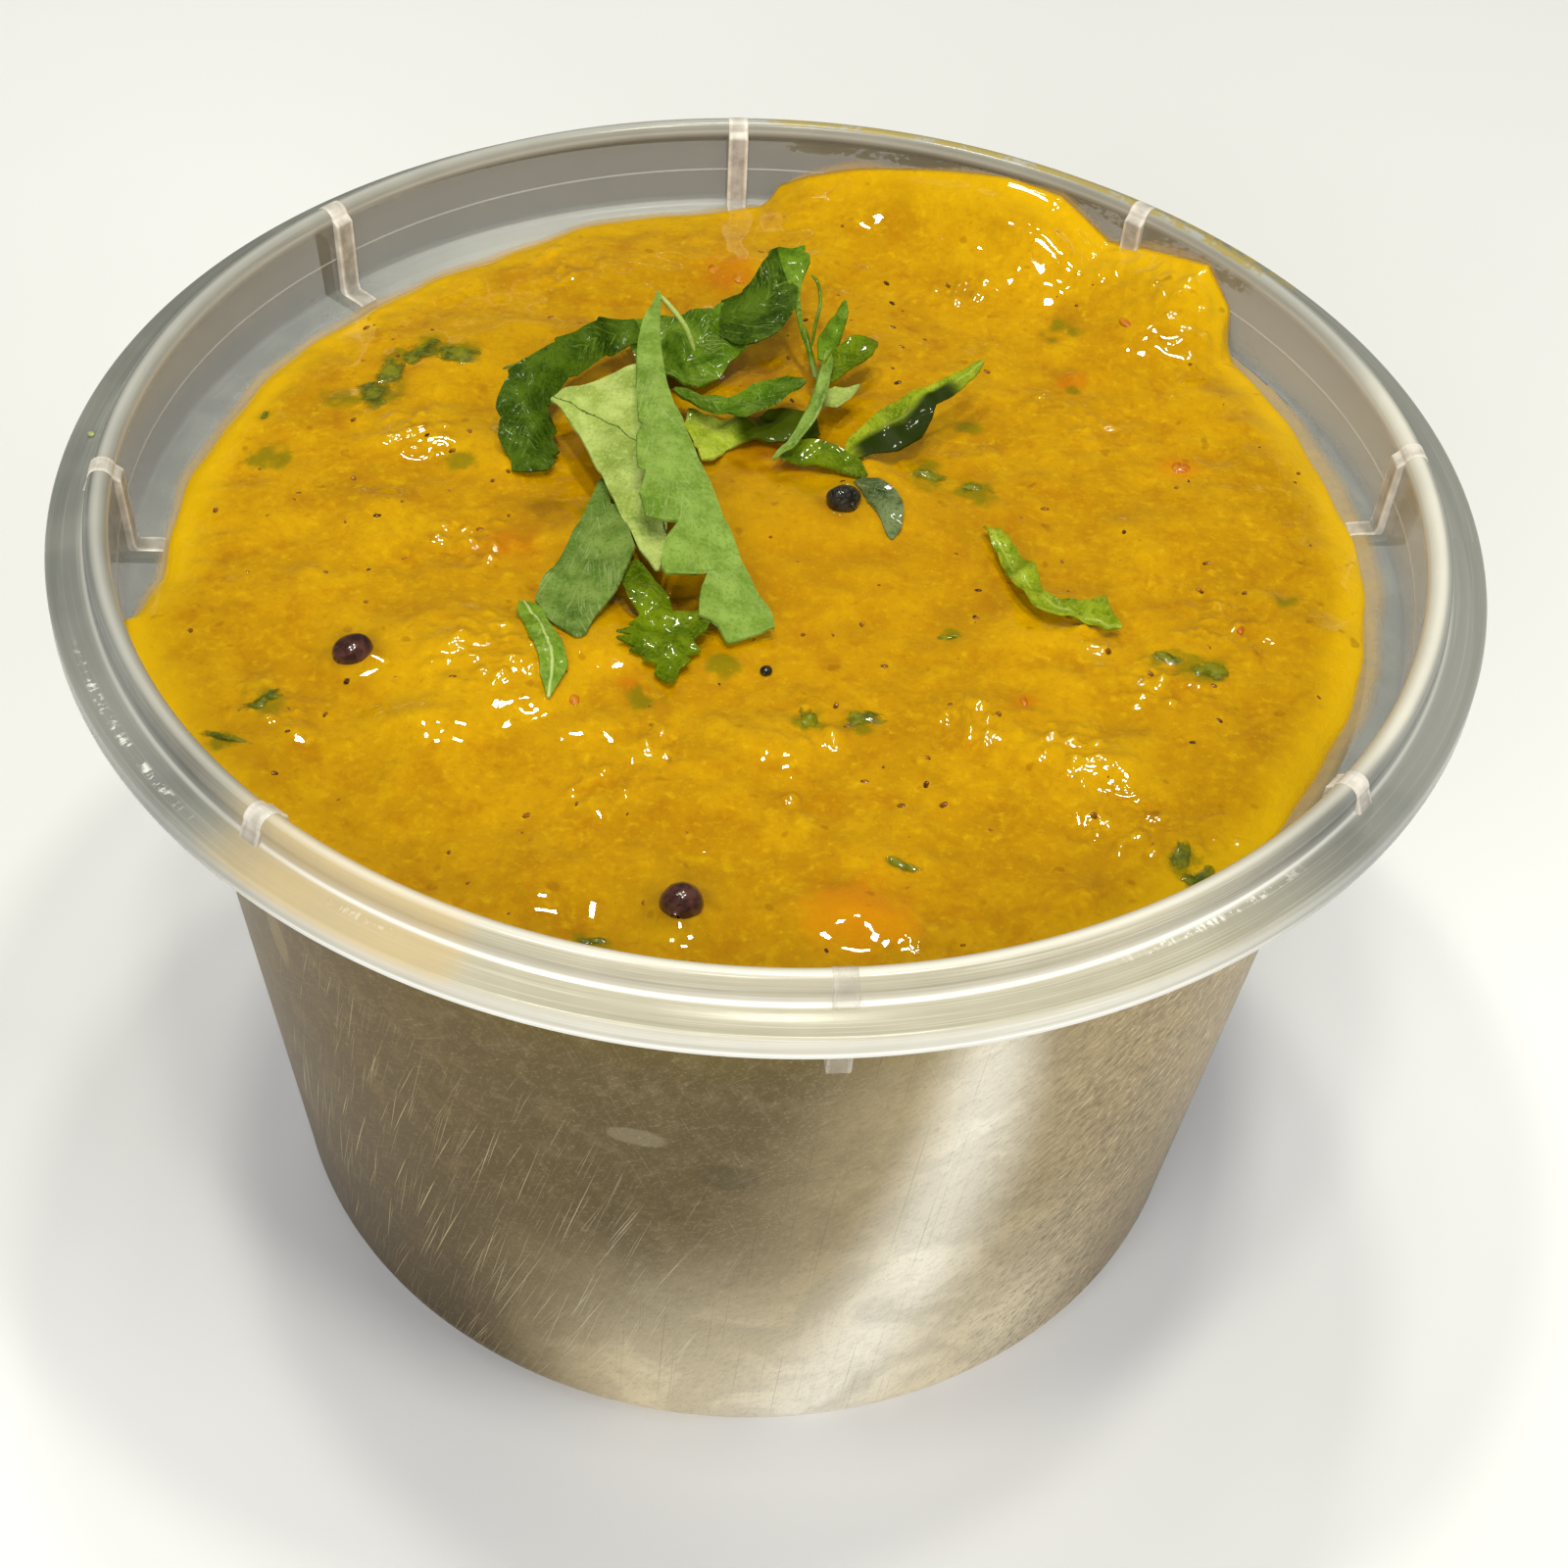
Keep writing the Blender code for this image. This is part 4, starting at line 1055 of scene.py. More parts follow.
dal_x, dal_y = dal_points[:, 0], dal_points[:, 1]
ragged = 0.30 * read_waves(MEDIUM_WAVES, dal_x, dal_y) + 0.25 * read_waves(SHORT_WAVES, dal_x, dal_y)
edge_share = np.hypot(dal_x, dal_y) / edge_radius(np.degrees(np.arctan2(dal_y, dal_x)) % 360)
paint(dal, "herb", stains(dal_x, dal_y, HERB_STAINS, ragged))
paint(dal, "rust", stains(dal_x, dal_y, RUST_STAINS, ragged))
paint(dal, "shade", stains(dal_x, dal_y, PAINTED_SHADE_SPOTS, ragged))
paint(dal, "core", np.exp(-((dal_x - 4) ** 2 + (dal_y + 2) ** 2) / 18.0**2))
orange_lump = smooth(2.6 - np.hypot((dal_x - 8.8) / 2.1, (dal_y + 43.2) / 1.35) + 0.35 * ragged)
paint(dal, "orange", np.maximum(orange_lump, stains(dal_x, dal_y, [(35.8, 14.2, 1.4)], ragged * 0.5)))
sideways = np.abs(dal_x) / np.hypot(dal_x, dal_y).clip(1)
paint(dal, "lemon", smooth((edge_share - 0.90) / 0.10) * (0.35 + 0.65 * sideways))
paint(dal, "lump", np.clip(0.5 + 0.9 * relief(dal_x, dal_y), 0, 1))

# %% Golden dal
def dal_finish():
    """Gold, mottled at three scales, then each painted mask's colour, then the smallest specks."""
    board = Board("golden_dal", {"IOR": 1.40, "Specular IOR Level": 0.0, "Coat Weight": 1.0,
                                 "Coat Roughness": 0.03, "Coat IOR": 1.70, "Roughness": 0.5})
    place = board.place()
    broad = board.noise(place, 9.0, 3.0, 0.6, 0.4)
    patches = board.noise(place, 3.6, 4.0, 0.65, 0.3)
    fine = board.noise(place, 0.85, 4.0, 0.7)
    flecks = board.noise(place, 1.1, 3.0, 0.6)
    spots = board.noise(board.vector("ADD", place, (31.0, 7.0, 3.0)), 1.8, 1.0)
    grit = board.noise(place, 0.32, 2.0, 0.6)
    herb = (board.read("herb") + (fine - 0.5) * 1.2 + (patches - 0.5) * 1.6).fade(0.20, 0.95)
    colour = board.mix(broad.fade(0.35, 0.65), (0.49, 0.240, 0.0006), (0.60, 0.310, 0.0006))
    colour = board.mix(patches.fade(0.50, 0.68) * 0.60, colour, (0.44, 0.172, 0.0006))
    colour = board.mix(patches.fade(0.46, 0.30) * 0.60, colour, (0.66, 0.385, 0.0008))
    colour = board.mix(board.read("lump").fade(0.50, 1.0) * 0.40, colour, (0.70, 0.400, 0.0012))
    colour = board.mix(fine.fade(0.50, 0.72) * 0.40, colour, (0.76, 0.440, 0.0020))
    colour = board.mix(fine.fade(0.48, 0.28) * 0.35, colour, (0.36, 0.145, 0.0006))
    colour = board.mix(flecks.fade(0.55, 0.80) * 0.50, colour, (0.82, 0.51, 0.0040))
    colour = board.mix(board.read("lemon") * 0.85, colour, (0.90, 0.550, 0.0006))
    colour = board.mix(board.read("rust") * 0.60, colour, (0.56, 0.150, 0.0010))
    colour = board.mix(board.read("core") * 0.30, colour, (0.44, 0.190, 0.0006))
    colour = board.mix(board.read("orange") * 0.60, colour, (0.72, 0.275, 0.0008))
    # Painted shade under the leaves and round the seeds.
    colour = board.mix(board.read("shade") * 0.60, colour, (0.20, 0.080, 0.0010))
    colour = board.mix(herb * 0.68, colour, (0.150, 0.160, 0.0006))
    colour = board.mix(spots.fade(0.70, 0.78) * 0.40, colour, (0.24, 0.085, 0.0010))
    colour = board.mix(grit.fade(0.70, 0.80) * 0.45, colour, (0.26, 0.090, 0.0010))
    colour = board.mix(grit.fade(0.34, 0.22) * 0.40, colour, (0.85, 0.56, 0.008))
    board.feed("Base Color", colour)
    board.bump(fine * 0.6 + grit * 0.4, 0.12)
    return board


dress(dal, dal_finish(), "dal")


# %% [markdown]
# ## Thin film round the edge
# Where the dal stops, a thin film of it is smeared on the plastic: a peach band on the ledge's
# lip, and a translucent fringe on the wall above the part that climbs. It is a narrow strip
# that follows the plastic a twentieth of a millimetre above it, and its alpha fades outwards.

# %% Films
FILM_LIFT = 0.05
FILM_ROWS = 7
FILM_STEPS = 720
ON_WALL = [(40, 0), (42, 1), (90, 1), (93, 0), (196, 0), (200, 1), (296, 1), (299, 0)]


def film_strip(name, path):
    """A strip round the bowl: path(turn in degrees, share across) gives radius and height."""
    degrees = np.linspace(0, 360, FILM_STEPS, endpoint=False)
    across = np.linspace(0, 1, FILM_ROWS)[:, None]
    radius, height = path(degrees[None], across)
    turn = np.radians(degrees)[None]
    grid = np.stack([radius * np.cos(turn), radius * np.sin(turn), height + 0 * radius], -1)
    faces = grid_faces(FILM_ROWS, FILM_STEPS, True)
    strip = put_mesh(name, grid.reshape(-1, 3), faces, closed=False)
    paint(strip, "fade", np.repeat(1 - across, FILM_STEPS, axis=1))
    return strip


def ledge_film(degrees, across):
    """From just under the dal's edge out over the lip; it is tucked under where there is none."""
    edge = edge_radius(degrees)
    a = np.radians(degrees)
    width = 0.75 + 0.15 * np.sin(5 * a) + 0.12 * np.sin(23 * a + 1) + 1.1 * np.clip(np.cos(a), 0, 1) ** 1.5
    radius = np.minimum(edge - 0.35 + (width + 0.35) * across, 53.5)
    return radius, tub_top(radius) + FILM_LIFT


def wall_film(degrees, across):
    """Up the wall from the line where the dal meets it; it shrinks to nothing over the ledge."""
    on_wall = round_the_bowl(ON_WALL, degrees)
    a = np.radians(degrees)
    meet = dal_level(53.9 * np.cos(a), 53.9 * np.sin(a))
    tall = (0.9 + 0.35 * np.sin(9 * a) + 0.25 * np.sin(31 * a)) * on_wall
    height = np.where(on_wall > 0, meet - 0.3, LEDGE_Z - 0.1) + (tall + 0.3 * on_wall) * across
    return neck_radius(np.maximum(height, LEDGE_Z)) - FILM_LIFT, height


def film_finish():
    """A smeared peach tone that thins outwards."""
    board = Board("dal_film", {"Roughness": 0.25, "IOR": 1.42})
    place = board.place()
    smear = board.noise(place, 1.6, 3.0, 0.6)
    colour = board.mix(smear, (0.62, 0.47, 0.24), (0.56, 0.38, 0.14))
    board.feed("Base Color", colour)
    board.feed("Alpha", (board.read("fade") * 2.2).least(1.0) * (0.35 + 0.5 * smear))
    return board


film_paint = film_finish()
for name, path in (("ledge_film", ledge_film), ("wall_film", wall_film)):
    dress(film_strip(name, path), film_paint, "dal")


# %% [markdown]
# ## Seeds, specks and chopped pieces
# Three larger seeds from the tempering and one small grain sit in the dal, among a couple of
# hundred fine brown and black specks and a few bits of chilli, and three crumbs are dried on
# the rim at the left. Each kind is one mesh. A small rounded template is copied by arrays:
# every copy has its own size, turn and place, and most are sunk so that only the tops show.

# %% A rounded template and its copies
def ball(rows, columns):
    """Unit sphere: rings of points between two poles."""
    up = np.linspace(0, math.pi, rows + 1)[1:-1][:, None]
    turn = np.arange(columns) * 2 * math.pi / columns
    ring = np.stack([np.sin(up) * np.cos(turn), np.sin(up) * np.sin(turn), np.cos(up) + 0 * turn], -1)
    points = np.vstack([ring.reshape(-1, 3), (0, 0, 1), (0, 0, -1)])
    here = np.arange(columns)
    after = np.roll(here, -1)
    foot = (rows - 2) * columns
    top = np.column_stack([here, after, np.full(columns, len(points) - 2)])
    bottom = np.column_stack([foot + after, foot + here, np.full(columns, len(points) - 1)])
    return points, grid_faces(rows - 1, columns, True), np.vstack([top, bottom])


def scatter(name, places, sizes, rng, rows=4, columns=7, uneven=0.12):
    """Copies of the template: place + turn(size x template x dents), all as one array. The dents
    are three long waves over each ball, with a phase of their own for every copy."""
    points, quads, tips = ball(rows, columns)
    points = points[:, [2, 0, 1]]  # the poles lie at the ends, out of sight
    count = len(places)
    turn = rng.uniform(0, 2 * math.pi, count)[:, None]
    bumps = 1.0
    for pull in (2.0, 3.1, 4.3):
        lean = rng.normal(0, 1, (count, 3, 1))
        wave = (points[None] @ lean)[..., 0] * pull + rng.uniform(0, 6, (count, 1))
        bumps = bumps + uneven * np.sin(wave)[..., None] * 2.0 / pull
    shape = points[None] * np.asarray(sizes)[:, None] * bumps
    x = shape[..., 0] * np.cos(turn) - shape[..., 1] * np.sin(turn)
    y = shape[..., 0] * np.sin(turn) + shape[..., 1] * np.cos(turn)
    copies = np.stack([x, y, shape[..., 2]], -1) + np.asarray(places)[:, None]
    shift = (np.arange(count) * len(points))[:, None, None]
    return put_mesh(name, copies.reshape(-1, 3), (quads[None] + shift).reshape(-1, 4),
                    (tips[None] + shift).reshape(-1, 3))


def on_dal(x, y, lift=0.0):
    """Points on the dal's surface, raised by lift."""
    x, y = np.asarray(x, float), np.asarray(y, float)
    return np.column_stack([x, y, dal_surface(x, y) + lift])


def thrown(rng, count, reach=49.0):
    """Random places spread evenly over a disc."""
    turn = rng.uniform(0, 2 * math.pi, count)
    out = reach * np.sqrt(rng.uniform(0, 1, count))
    return out * np.cos(turn), out * np.sin(turn)


def plain_finish(name, colour, other, size, roughness, bump=0.03, coat=0.8):
    """A mottled finish from two colours."""
    board = Board(name, {"IOR": 1.45, "Coat Weight": coat, "Coat Roughness": 0.05})
    place = board.place()
    mottle = board.noise(place, size, 3.0, 0.6)
    board.feed("Base Color", board.mix(mottle.fade(0.35, 0.65), colour, other))
    board.feed("Roughness", roughness + mottle * 0.12)
    board.bump(mottle, bump)
    return board


# %% Specks
BROWN_SPECKS = 190
DARK_SPECKS = 34
rng = np.random.default_rng(5)
brown_x, brown_y = thrown(rng, BROWN_SPECKS)
brown_size = rng.uniform(0.10, 0.34, (BROWN_SPECKS, 1)) * np.array([[1.3, 0.9, 0.45]])
brown = scatter("brown_specks", on_dal(brown_x, brown_y, -0.06), brown_size, rng)
dress(brown, plain_finish("brown_speck", (0.20, 0.065, 0.002), (0.34, 0.130, 0.003), 0.6, 0.35), "dal")
dark_x, dark_y = thrown(rng, DARK_SPECKS)
dark_size = rng.uniform(0.14, 0.36, (DARK_SPECKS, 1)) * np.array([[1.3, 0.8, 0.5]])
dark = scatter("dark_specks", on_dal(dark_x, dark_y, -0.04), dark_size, rng)
dress(dark, plain_finish("dark_speck", (0.030, 0.012, 0.003), (0.11, 0.035, 0.004), 0.5, 0.3), "dal")

# %% Seeds and chilli
# Each row is x, y and three half-sizes.
BLACK_SEEDS = [(5.9, 4.4, 1.40, 1.50, 1.35)]
PLUM_SEEDS = [(-32.7, -18.0, 1.75, 1.6, 1.2), (-4.4, -43.2, 1.65, 1.65, 1.5)]
CHILLI = [(-7.4, 40.3, 1.3, 0.7, 0.3), (-5.0, 39.2, 1.0, 0.6, 0.3), (35.9, 14.5, 0.9, 0.8, 0.4),
          (21.4, -17.9, 0.35, 0.7, 0.3), (-14.6, -21.6, 0.7, 0.5, 0.3), (-16.5, -15.0, 0.8, 0.4, 0.25),
          (39.6, -7.0, 0.7, 0.4, 0.25), (31.5, 33.8, 0.8, 0.5, 0.3)]
BLACK_GRAINS = [(0.5, -16.4, 0.55, 0.5, 0.4)]


def listed(name, rows, finish, lift, uneven):
    """One mesh from listed balls: x, y and three half-sizes."""
    table = np.array(rows)
    grains = scatter(name, on_dal(table[:, 0], table[:, 1], lift), table[:, 2:], rng, 14, 22, uneven)
    return dress(grains, finish, "dal")


black_look = plain_finish("black_seed", (0.004, 0.005, 0.004), (0.030, 0.024, 0.016), 0.7, 0.40, 0.45)
plum_look = plain_finish("plum_seed", (0.035, 0.012, 0.010), (0.10, 0.040, 0.030), 1.0, 0.12, 0.10)
chilli_look = plain_finish("chilli", (0.46, 0.105, 0.001), (0.58, 0.230, 0.002), 0.8, 0.35, 0.05, 0.25)
listed("black_seed", BLACK_SEEDS, black_look, 0.25, 0.10)
listed("dark_grain", BLACK_GRAINS, black_look, 0.15, 0.03)
listed("plum_seeds", PLUM_SEEDS, plum_look, -0.35, 0.03)
listed("chilli_bits", CHILLI, chilli_look, -0.18, 0.08)

# %% Crumbs on the rim
# Rows of x, y and z, and of three half-sizes.
CRUMBS = [(-55.5, 10.6, 74.75), (-56.0, 6.8, 74.65), (-57.6, 1.5, 74.45)]
CRUMB_SIZES = [(0.55, 0.40, 0.35), (0.45, 0.35, 0.30), (0.30, 0.25, 0.20)]
crumbs = scatter("rim_crumbs", CRUMBS, CRUMB_SIZES, rng, 8, 12, 0.15)
crumb_look = plain_finish("crumb", (0.30, 0.36, 0.09), (0.52, 0.56, 0.26), 0.5, 0.5, 0.05, 0.4)
dress(crumbs, crumb_look, "leaf_pale")


# %% [markdown]
# ## The coriander
# The garnish is a heap of leaf shreds. Each one is a strip carried along a curved path. The
# path's stations give x, y, the lift over the dal and a tilt, and two short tables give how
# far the shred reaches to either side at each share of its length, so a sudden step in a table
# is a tooth of the leaf. The strip is cupped across, and gentle waves keep it from being flat.

# %% A strip along a path
def along(stations, share):
    """A Catmull-Rom curve through the stations, read at shares of its number of spans."""
    knots = np.array(stations, float)
    knots = np.vstack([2 * knots[0] - knots[1], knots, 2 * knots[-1] - knots[-2]])
    place = np.asarray(share) * (len(stations) - 1)
    span = np.minimum(place.astype(int), len(stations) - 2)
    t = (place - span)[:, None]
    a, b, c, d = (knots[span + step] for step in range(4))
    return 0.5 * (2 * b + (c - a) * t + (2 * a - 5 * b + 4 * c - d) * t**2 + (3 * b - a - 3 * c + d) * t**3)


def side_table(table, share):
    """Read (share, reach) pairs; two pairs at one share make a step a thousandth long."""
    place, reach = np.array(table, float).T
    place = np.maximum.accumulate(place + np.arange(len(place)) * 1e-3)
    return np.interp(share, place, reach)


LEAF_THICK = 0.24
LEAF_COLUMNS = 15


def leaf(name, axis, low, high, cup=0.5, wave=0.12, rest=0.25, rows=110, dark=(0, 0, 0, 0)):
    """Point at share s along and t across is the path's point + side(s) x reach(s, t). Its
    height gains cup x (reach / widest)^2 and waves, and is at least rest above the dal. Dark
    gives the shares that are shaded: from the first number to the second along, and from the
    third to the fourth across."""
    dense = along(axis, np.linspace(0, 1, 600))
    steps = np.linalg.norm(np.diff(dense[:, :3], axis=0), axis=1)
    length = np.concatenate([[0], np.cumsum(steps)])
    share = np.linspace(0, 1, rows)
    middle = np.column_stack([np.interp(share * length[-1], length, column) for column in dense.T])
    x, y, lift, tilt = middle.T
    tilt = np.radians(tilt)
    run = np.gradient(middle[:, :2], axis=0)
    run /= np.linalg.norm(run, axis=1)[:, None]
    side = np.column_stack([-run[:, 1] * np.cos(tilt), run[:, 0] * np.cos(tilt), np.sin(tilt)])
    low_reach, high_reach = side_table(low, share), side_table(high, share)
    thin = np.maximum(0.22 - (high_reach - low_reach), 0) / 2
    low_reach, high_reach = low_reach - thin, high_reach + thin
    across = np.linspace(0, 1, LEAF_COLUMNS)[None]
    reach = low_reach[:, None] + (high_reach - low_reach)[:, None] * across
    grid = np.stack([x, y, DAL_LEVEL + DAL_DOME + lift], -1)[:, None] + reach[..., None] * side[:, None]
    widest = np.abs(reach).max()
    grid[..., 2] += cup * (reach / widest) ** 2
    grid[..., 2] += wave * read_waves(MEDIUM_WAVES, grid[..., 0] * 1.1 + 31, grid[..., 1] * 1.1 + 17)
    grid[..., 2] += 0.3 * wave * read_waves(SHORT_WAVES, grid[..., 0] + 31, grid[..., 1] + 17)
    floor_z = dal_surface(grid[..., 0], grid[..., 1]) + rest
    grid[..., 2] = np.minimum(np.maximum(grid[..., 2], floor_z), BEAD_TOP_Z - LEAF_THICK / 2)
    thing = put_mesh(name, grid.reshape(-1, 3), grid_faces(rows, LEAF_COLUMNS), closed=False)
    ring = np.zeros(rows * LEAF_COLUMNS, bool).reshape(rows, -1)
    ring[[0, -1]] = ring[:, [0, -1]] = True
    ends = np.zeros(len(thing.data.edges) * 2, np.int32)
    thing.data.edges.foreach_get("vertices", ends)
    crisp = thing.data.attributes.new("sharp_edge", "BOOLEAN", "EDGE")
    crisp.data.foreach_set("value", ring.ravel()[ends].reshape(-1, 2).all(axis=1))
    soft_in = smooth((share - dark[0]) / 0.12 + 0.5) * smooth((dark[1] - share) / 0.12 + 0.5)
    soft_across = smooth((across - dark[2]) / 0.25 + 0.5) * smooth((dark[3] - across) / 0.25 + 0.5)
    paint(thing, "dark", soft_in[:, None] * soft_across)
    uv = thing.data.uv_layers.new(name="UVMap")
    flat = np.stack([np.broadcast_to((share * length[-1])[:, None], reach.shape), reach], -1).reshape(-1, 2)
    corner = np.zeros(len(thing.data.loops), np.int32)
    thing.data.loops.foreach_get("vertex_index", corner)
    uv.data.foreach_set("uv", (flat[corner] / 10).astype(np.float32).ravel())
    wall = thing.modifiers.new("Thickness", "SOLIDIFY")
    wall.thickness = LEAF_THICK * MM
    wall.offset = 0.0
    return thing


# %% [markdown]
# The leaves differ: matt grey-green undersides, fresh bright tops, deep green where they are
# folded or wet. One finish makes them all. The leaf's own map has its length and its width in
# centimetres, so a vein down the middle is a thin line at width zero, and side veins are thin
# threads of a noise that is stretched along lines of equal length minus width.

# %% Leaf finish
def leaf_finish(name, base, light, dark, vein, roughness=0.5, middle_vein=0.0, side_veins=0.5, shine=0.35,
                wet=0.0, fan=1.1, crack=0.0):
    """Four colours: the leaf's own, its light and dark mottling, and its veins. Fan is how far
    the side veins lean forwards, wet is the coat's weight, and crack darkens one curved crease."""
    board = Board(name, {"IOR": 1.4, "Specular IOR Level": shine, "Coat Weight": wet,
                         "Coat Roughness": 0.06, "Coat IOR": 1.45})
    place = board.place()
    length, width, _ = board.parts(board.node("ShaderNodeUVMap", {"uv_map": "UVMap"}))
    mottle = board.noise(place, 2.2, 4.0, 0.6)
    cells = board.noise(place, 0.30, 3.0, 0.75)
    blotch = board.noise(place, 5.0, 2.0)
    wander = (mottle - 0.5) * 0.10
    colour = board.mix(mottle.fade(0.35, 0.65), base, light)
    colour = board.mix(blotch.fade(0.50, 0.68) * 0.55, colour, dark)
    colour = board.mix(cells.fade(0.52, 0.66) * 0.70, colour, light)
    colour = board.mix(cells.fade(0.46, 0.34) * 0.60, colour, dark)
    middle = abs(width + wander * 0.3).fade(0.018, 0.006) * middle_vein
    slant = length - abs(width) * fan + wander
    threads = board.noise(board.join(slant * (16.0 / (0.3 + fan)), width * 2.5, 0.0), 1.0, 3.0, 0.6)
    ribs = abs(threads - 0.5).fade(0.024, 0.004) * side_veins * blotch.fade(0.36, 0.56)
    veins = middle.most(ribs)
    colour = board.mix(veins, colour, vein)
    if crack:
        bend = (length * 0.62 - 0.40).least(0.13 + length * 0.02)
        torn = abs(width - bend + (mottle - 0.5) * 0.16).fade(0.014, 0.004) * length.fade(2.2, 2.0)
        colour = board.mix(torn * crack, colour, (dark[0] * 0.25, dark[1] * 0.30, dark[2] * 0.3))
    # Painted shade: the shares given by the dark mark, where a leaf lies in shade, are darkened.
    colour = board.mix(board.read("dark"), colour, (dark[0] * 0.30, dark[1] * 0.30, dark[2] * 0.30))
    board.feed("Base Color", colour)
    board.feed("Roughness", roughness + (cells - 0.5) * 0.2)
    board.bump(1 - veins * 0.5 + cells * 0.5, 0.10)
    return board


# %% The ten looks
LEAF_LOOKS = {
    "matt": leaf_finish(
        "leaf_matt_green", (0.155, 0.255, 0.030), (0.255, 0.375, 0.070),
        (0.095, 0.185, 0.015), (0.42, 0.52, 0.20),
        roughness=0.65, side_veins=0.28, shine=0.10, fan=2.4),
    "pale": leaf_finish(
        "leaf_pale_back", (0.310, 0.400, 0.075), (0.48, 0.57, 0.16),
        (0.20, 0.28, 0.04), (0.09, 0.14, 0.015),
        roughness=0.62, side_veins=0.15, shine=0.15, crack=0.9),
    "left": leaf_finish(
        "leaf_ribbed_green", (0.090, 0.165, 0.020), (0.185, 0.270, 0.050),
        (0.045, 0.100, 0.008), (0.38, 0.46, 0.18),
        side_veins=0.4, shine=0.15, fan=4.0),
    "tip": leaf_finish(
        "leaf_tip_green", (0.115, 0.225, 0.006), (0.210, 0.330, 0.028),
        (0.065, 0.150, 0.004), (0.52, 0.62, 0.20),
        roughness=0.35, middle_vein=0.8, side_veins=0.4, shine=0.3, wet=0.3),
    "fresh": leaf_finish(
        "leaf_fresh_top", (0.062, 0.138, 0.004), (0.145, 0.245, 0.014),
        (0.026, 0.072, 0.001), (0.32, 0.42, 0.12),
        roughness=0.40, side_veins=0.45, shine=0.05, wet=0.22),
    "lime": leaf_finish(
        "leaf_lime_green", (0.340, 0.430, 0.020), (0.500, 0.580, 0.070),
        (0.170, 0.250, 0.004), (0.55, 0.64, 0.16),
        roughness=0.45, shine=0.10, wet=0.2),
    "wet": leaf_finish(
        "leaf_wet_green", (0.060, 0.095, 0.022), (0.170, 0.220, 0.085),
        (0.012, 0.028, 0.002), (0.30, 0.38, 0.16),
        roughness=0.35, side_veins=0.4, shine=0.2, wet=0.9),
    "bright": leaf_finish(
        "leaf_bright_top", (0.068, 0.115, 0.0006), (0.150, 0.215, 0.003),
        (0.026, 0.055, 0.0006), (0.28, 0.36, 0.05),
        roughness=0.36, side_veins=0.3, shine=0.05, wet=0.6),
    "lone": leaf_finish(
        "leaf_lone_green", (0.185, 0.260, 0.004), (0.320, 0.390, 0.018),
        (0.055, 0.095, 0.001), (0.42, 0.50, 0.08),
        roughness=0.45, middle_vein=0.5, side_veins=0.3, shine=0.15, wet=0.25),
    "deep": leaf_finish(
        "leaf_deep_green", (0.024, 0.055, 0.001), (0.070, 0.125, 0.005),
        (0.008, 0.024, 0.0006), (0.16, 0.25, 0.035),
        side_veins=0.60, shine=0.10, wet=0.08, fan=1.6),
}
LOOK_SLOTS = {"pale": "leaf_pale", "deep": "leaf_deep"}  # every other look is leaf_fresh
print("leaf looks:", ", ".join(LEAF_LOOKS))


# %% [markdown]
# Each shred below is named as its node is, with a look, the stations of its path and its two
# side tables. The long matt blade is toothed on its left side, the pale one lies face down
# under it, and the others curl, arch or fold round them.

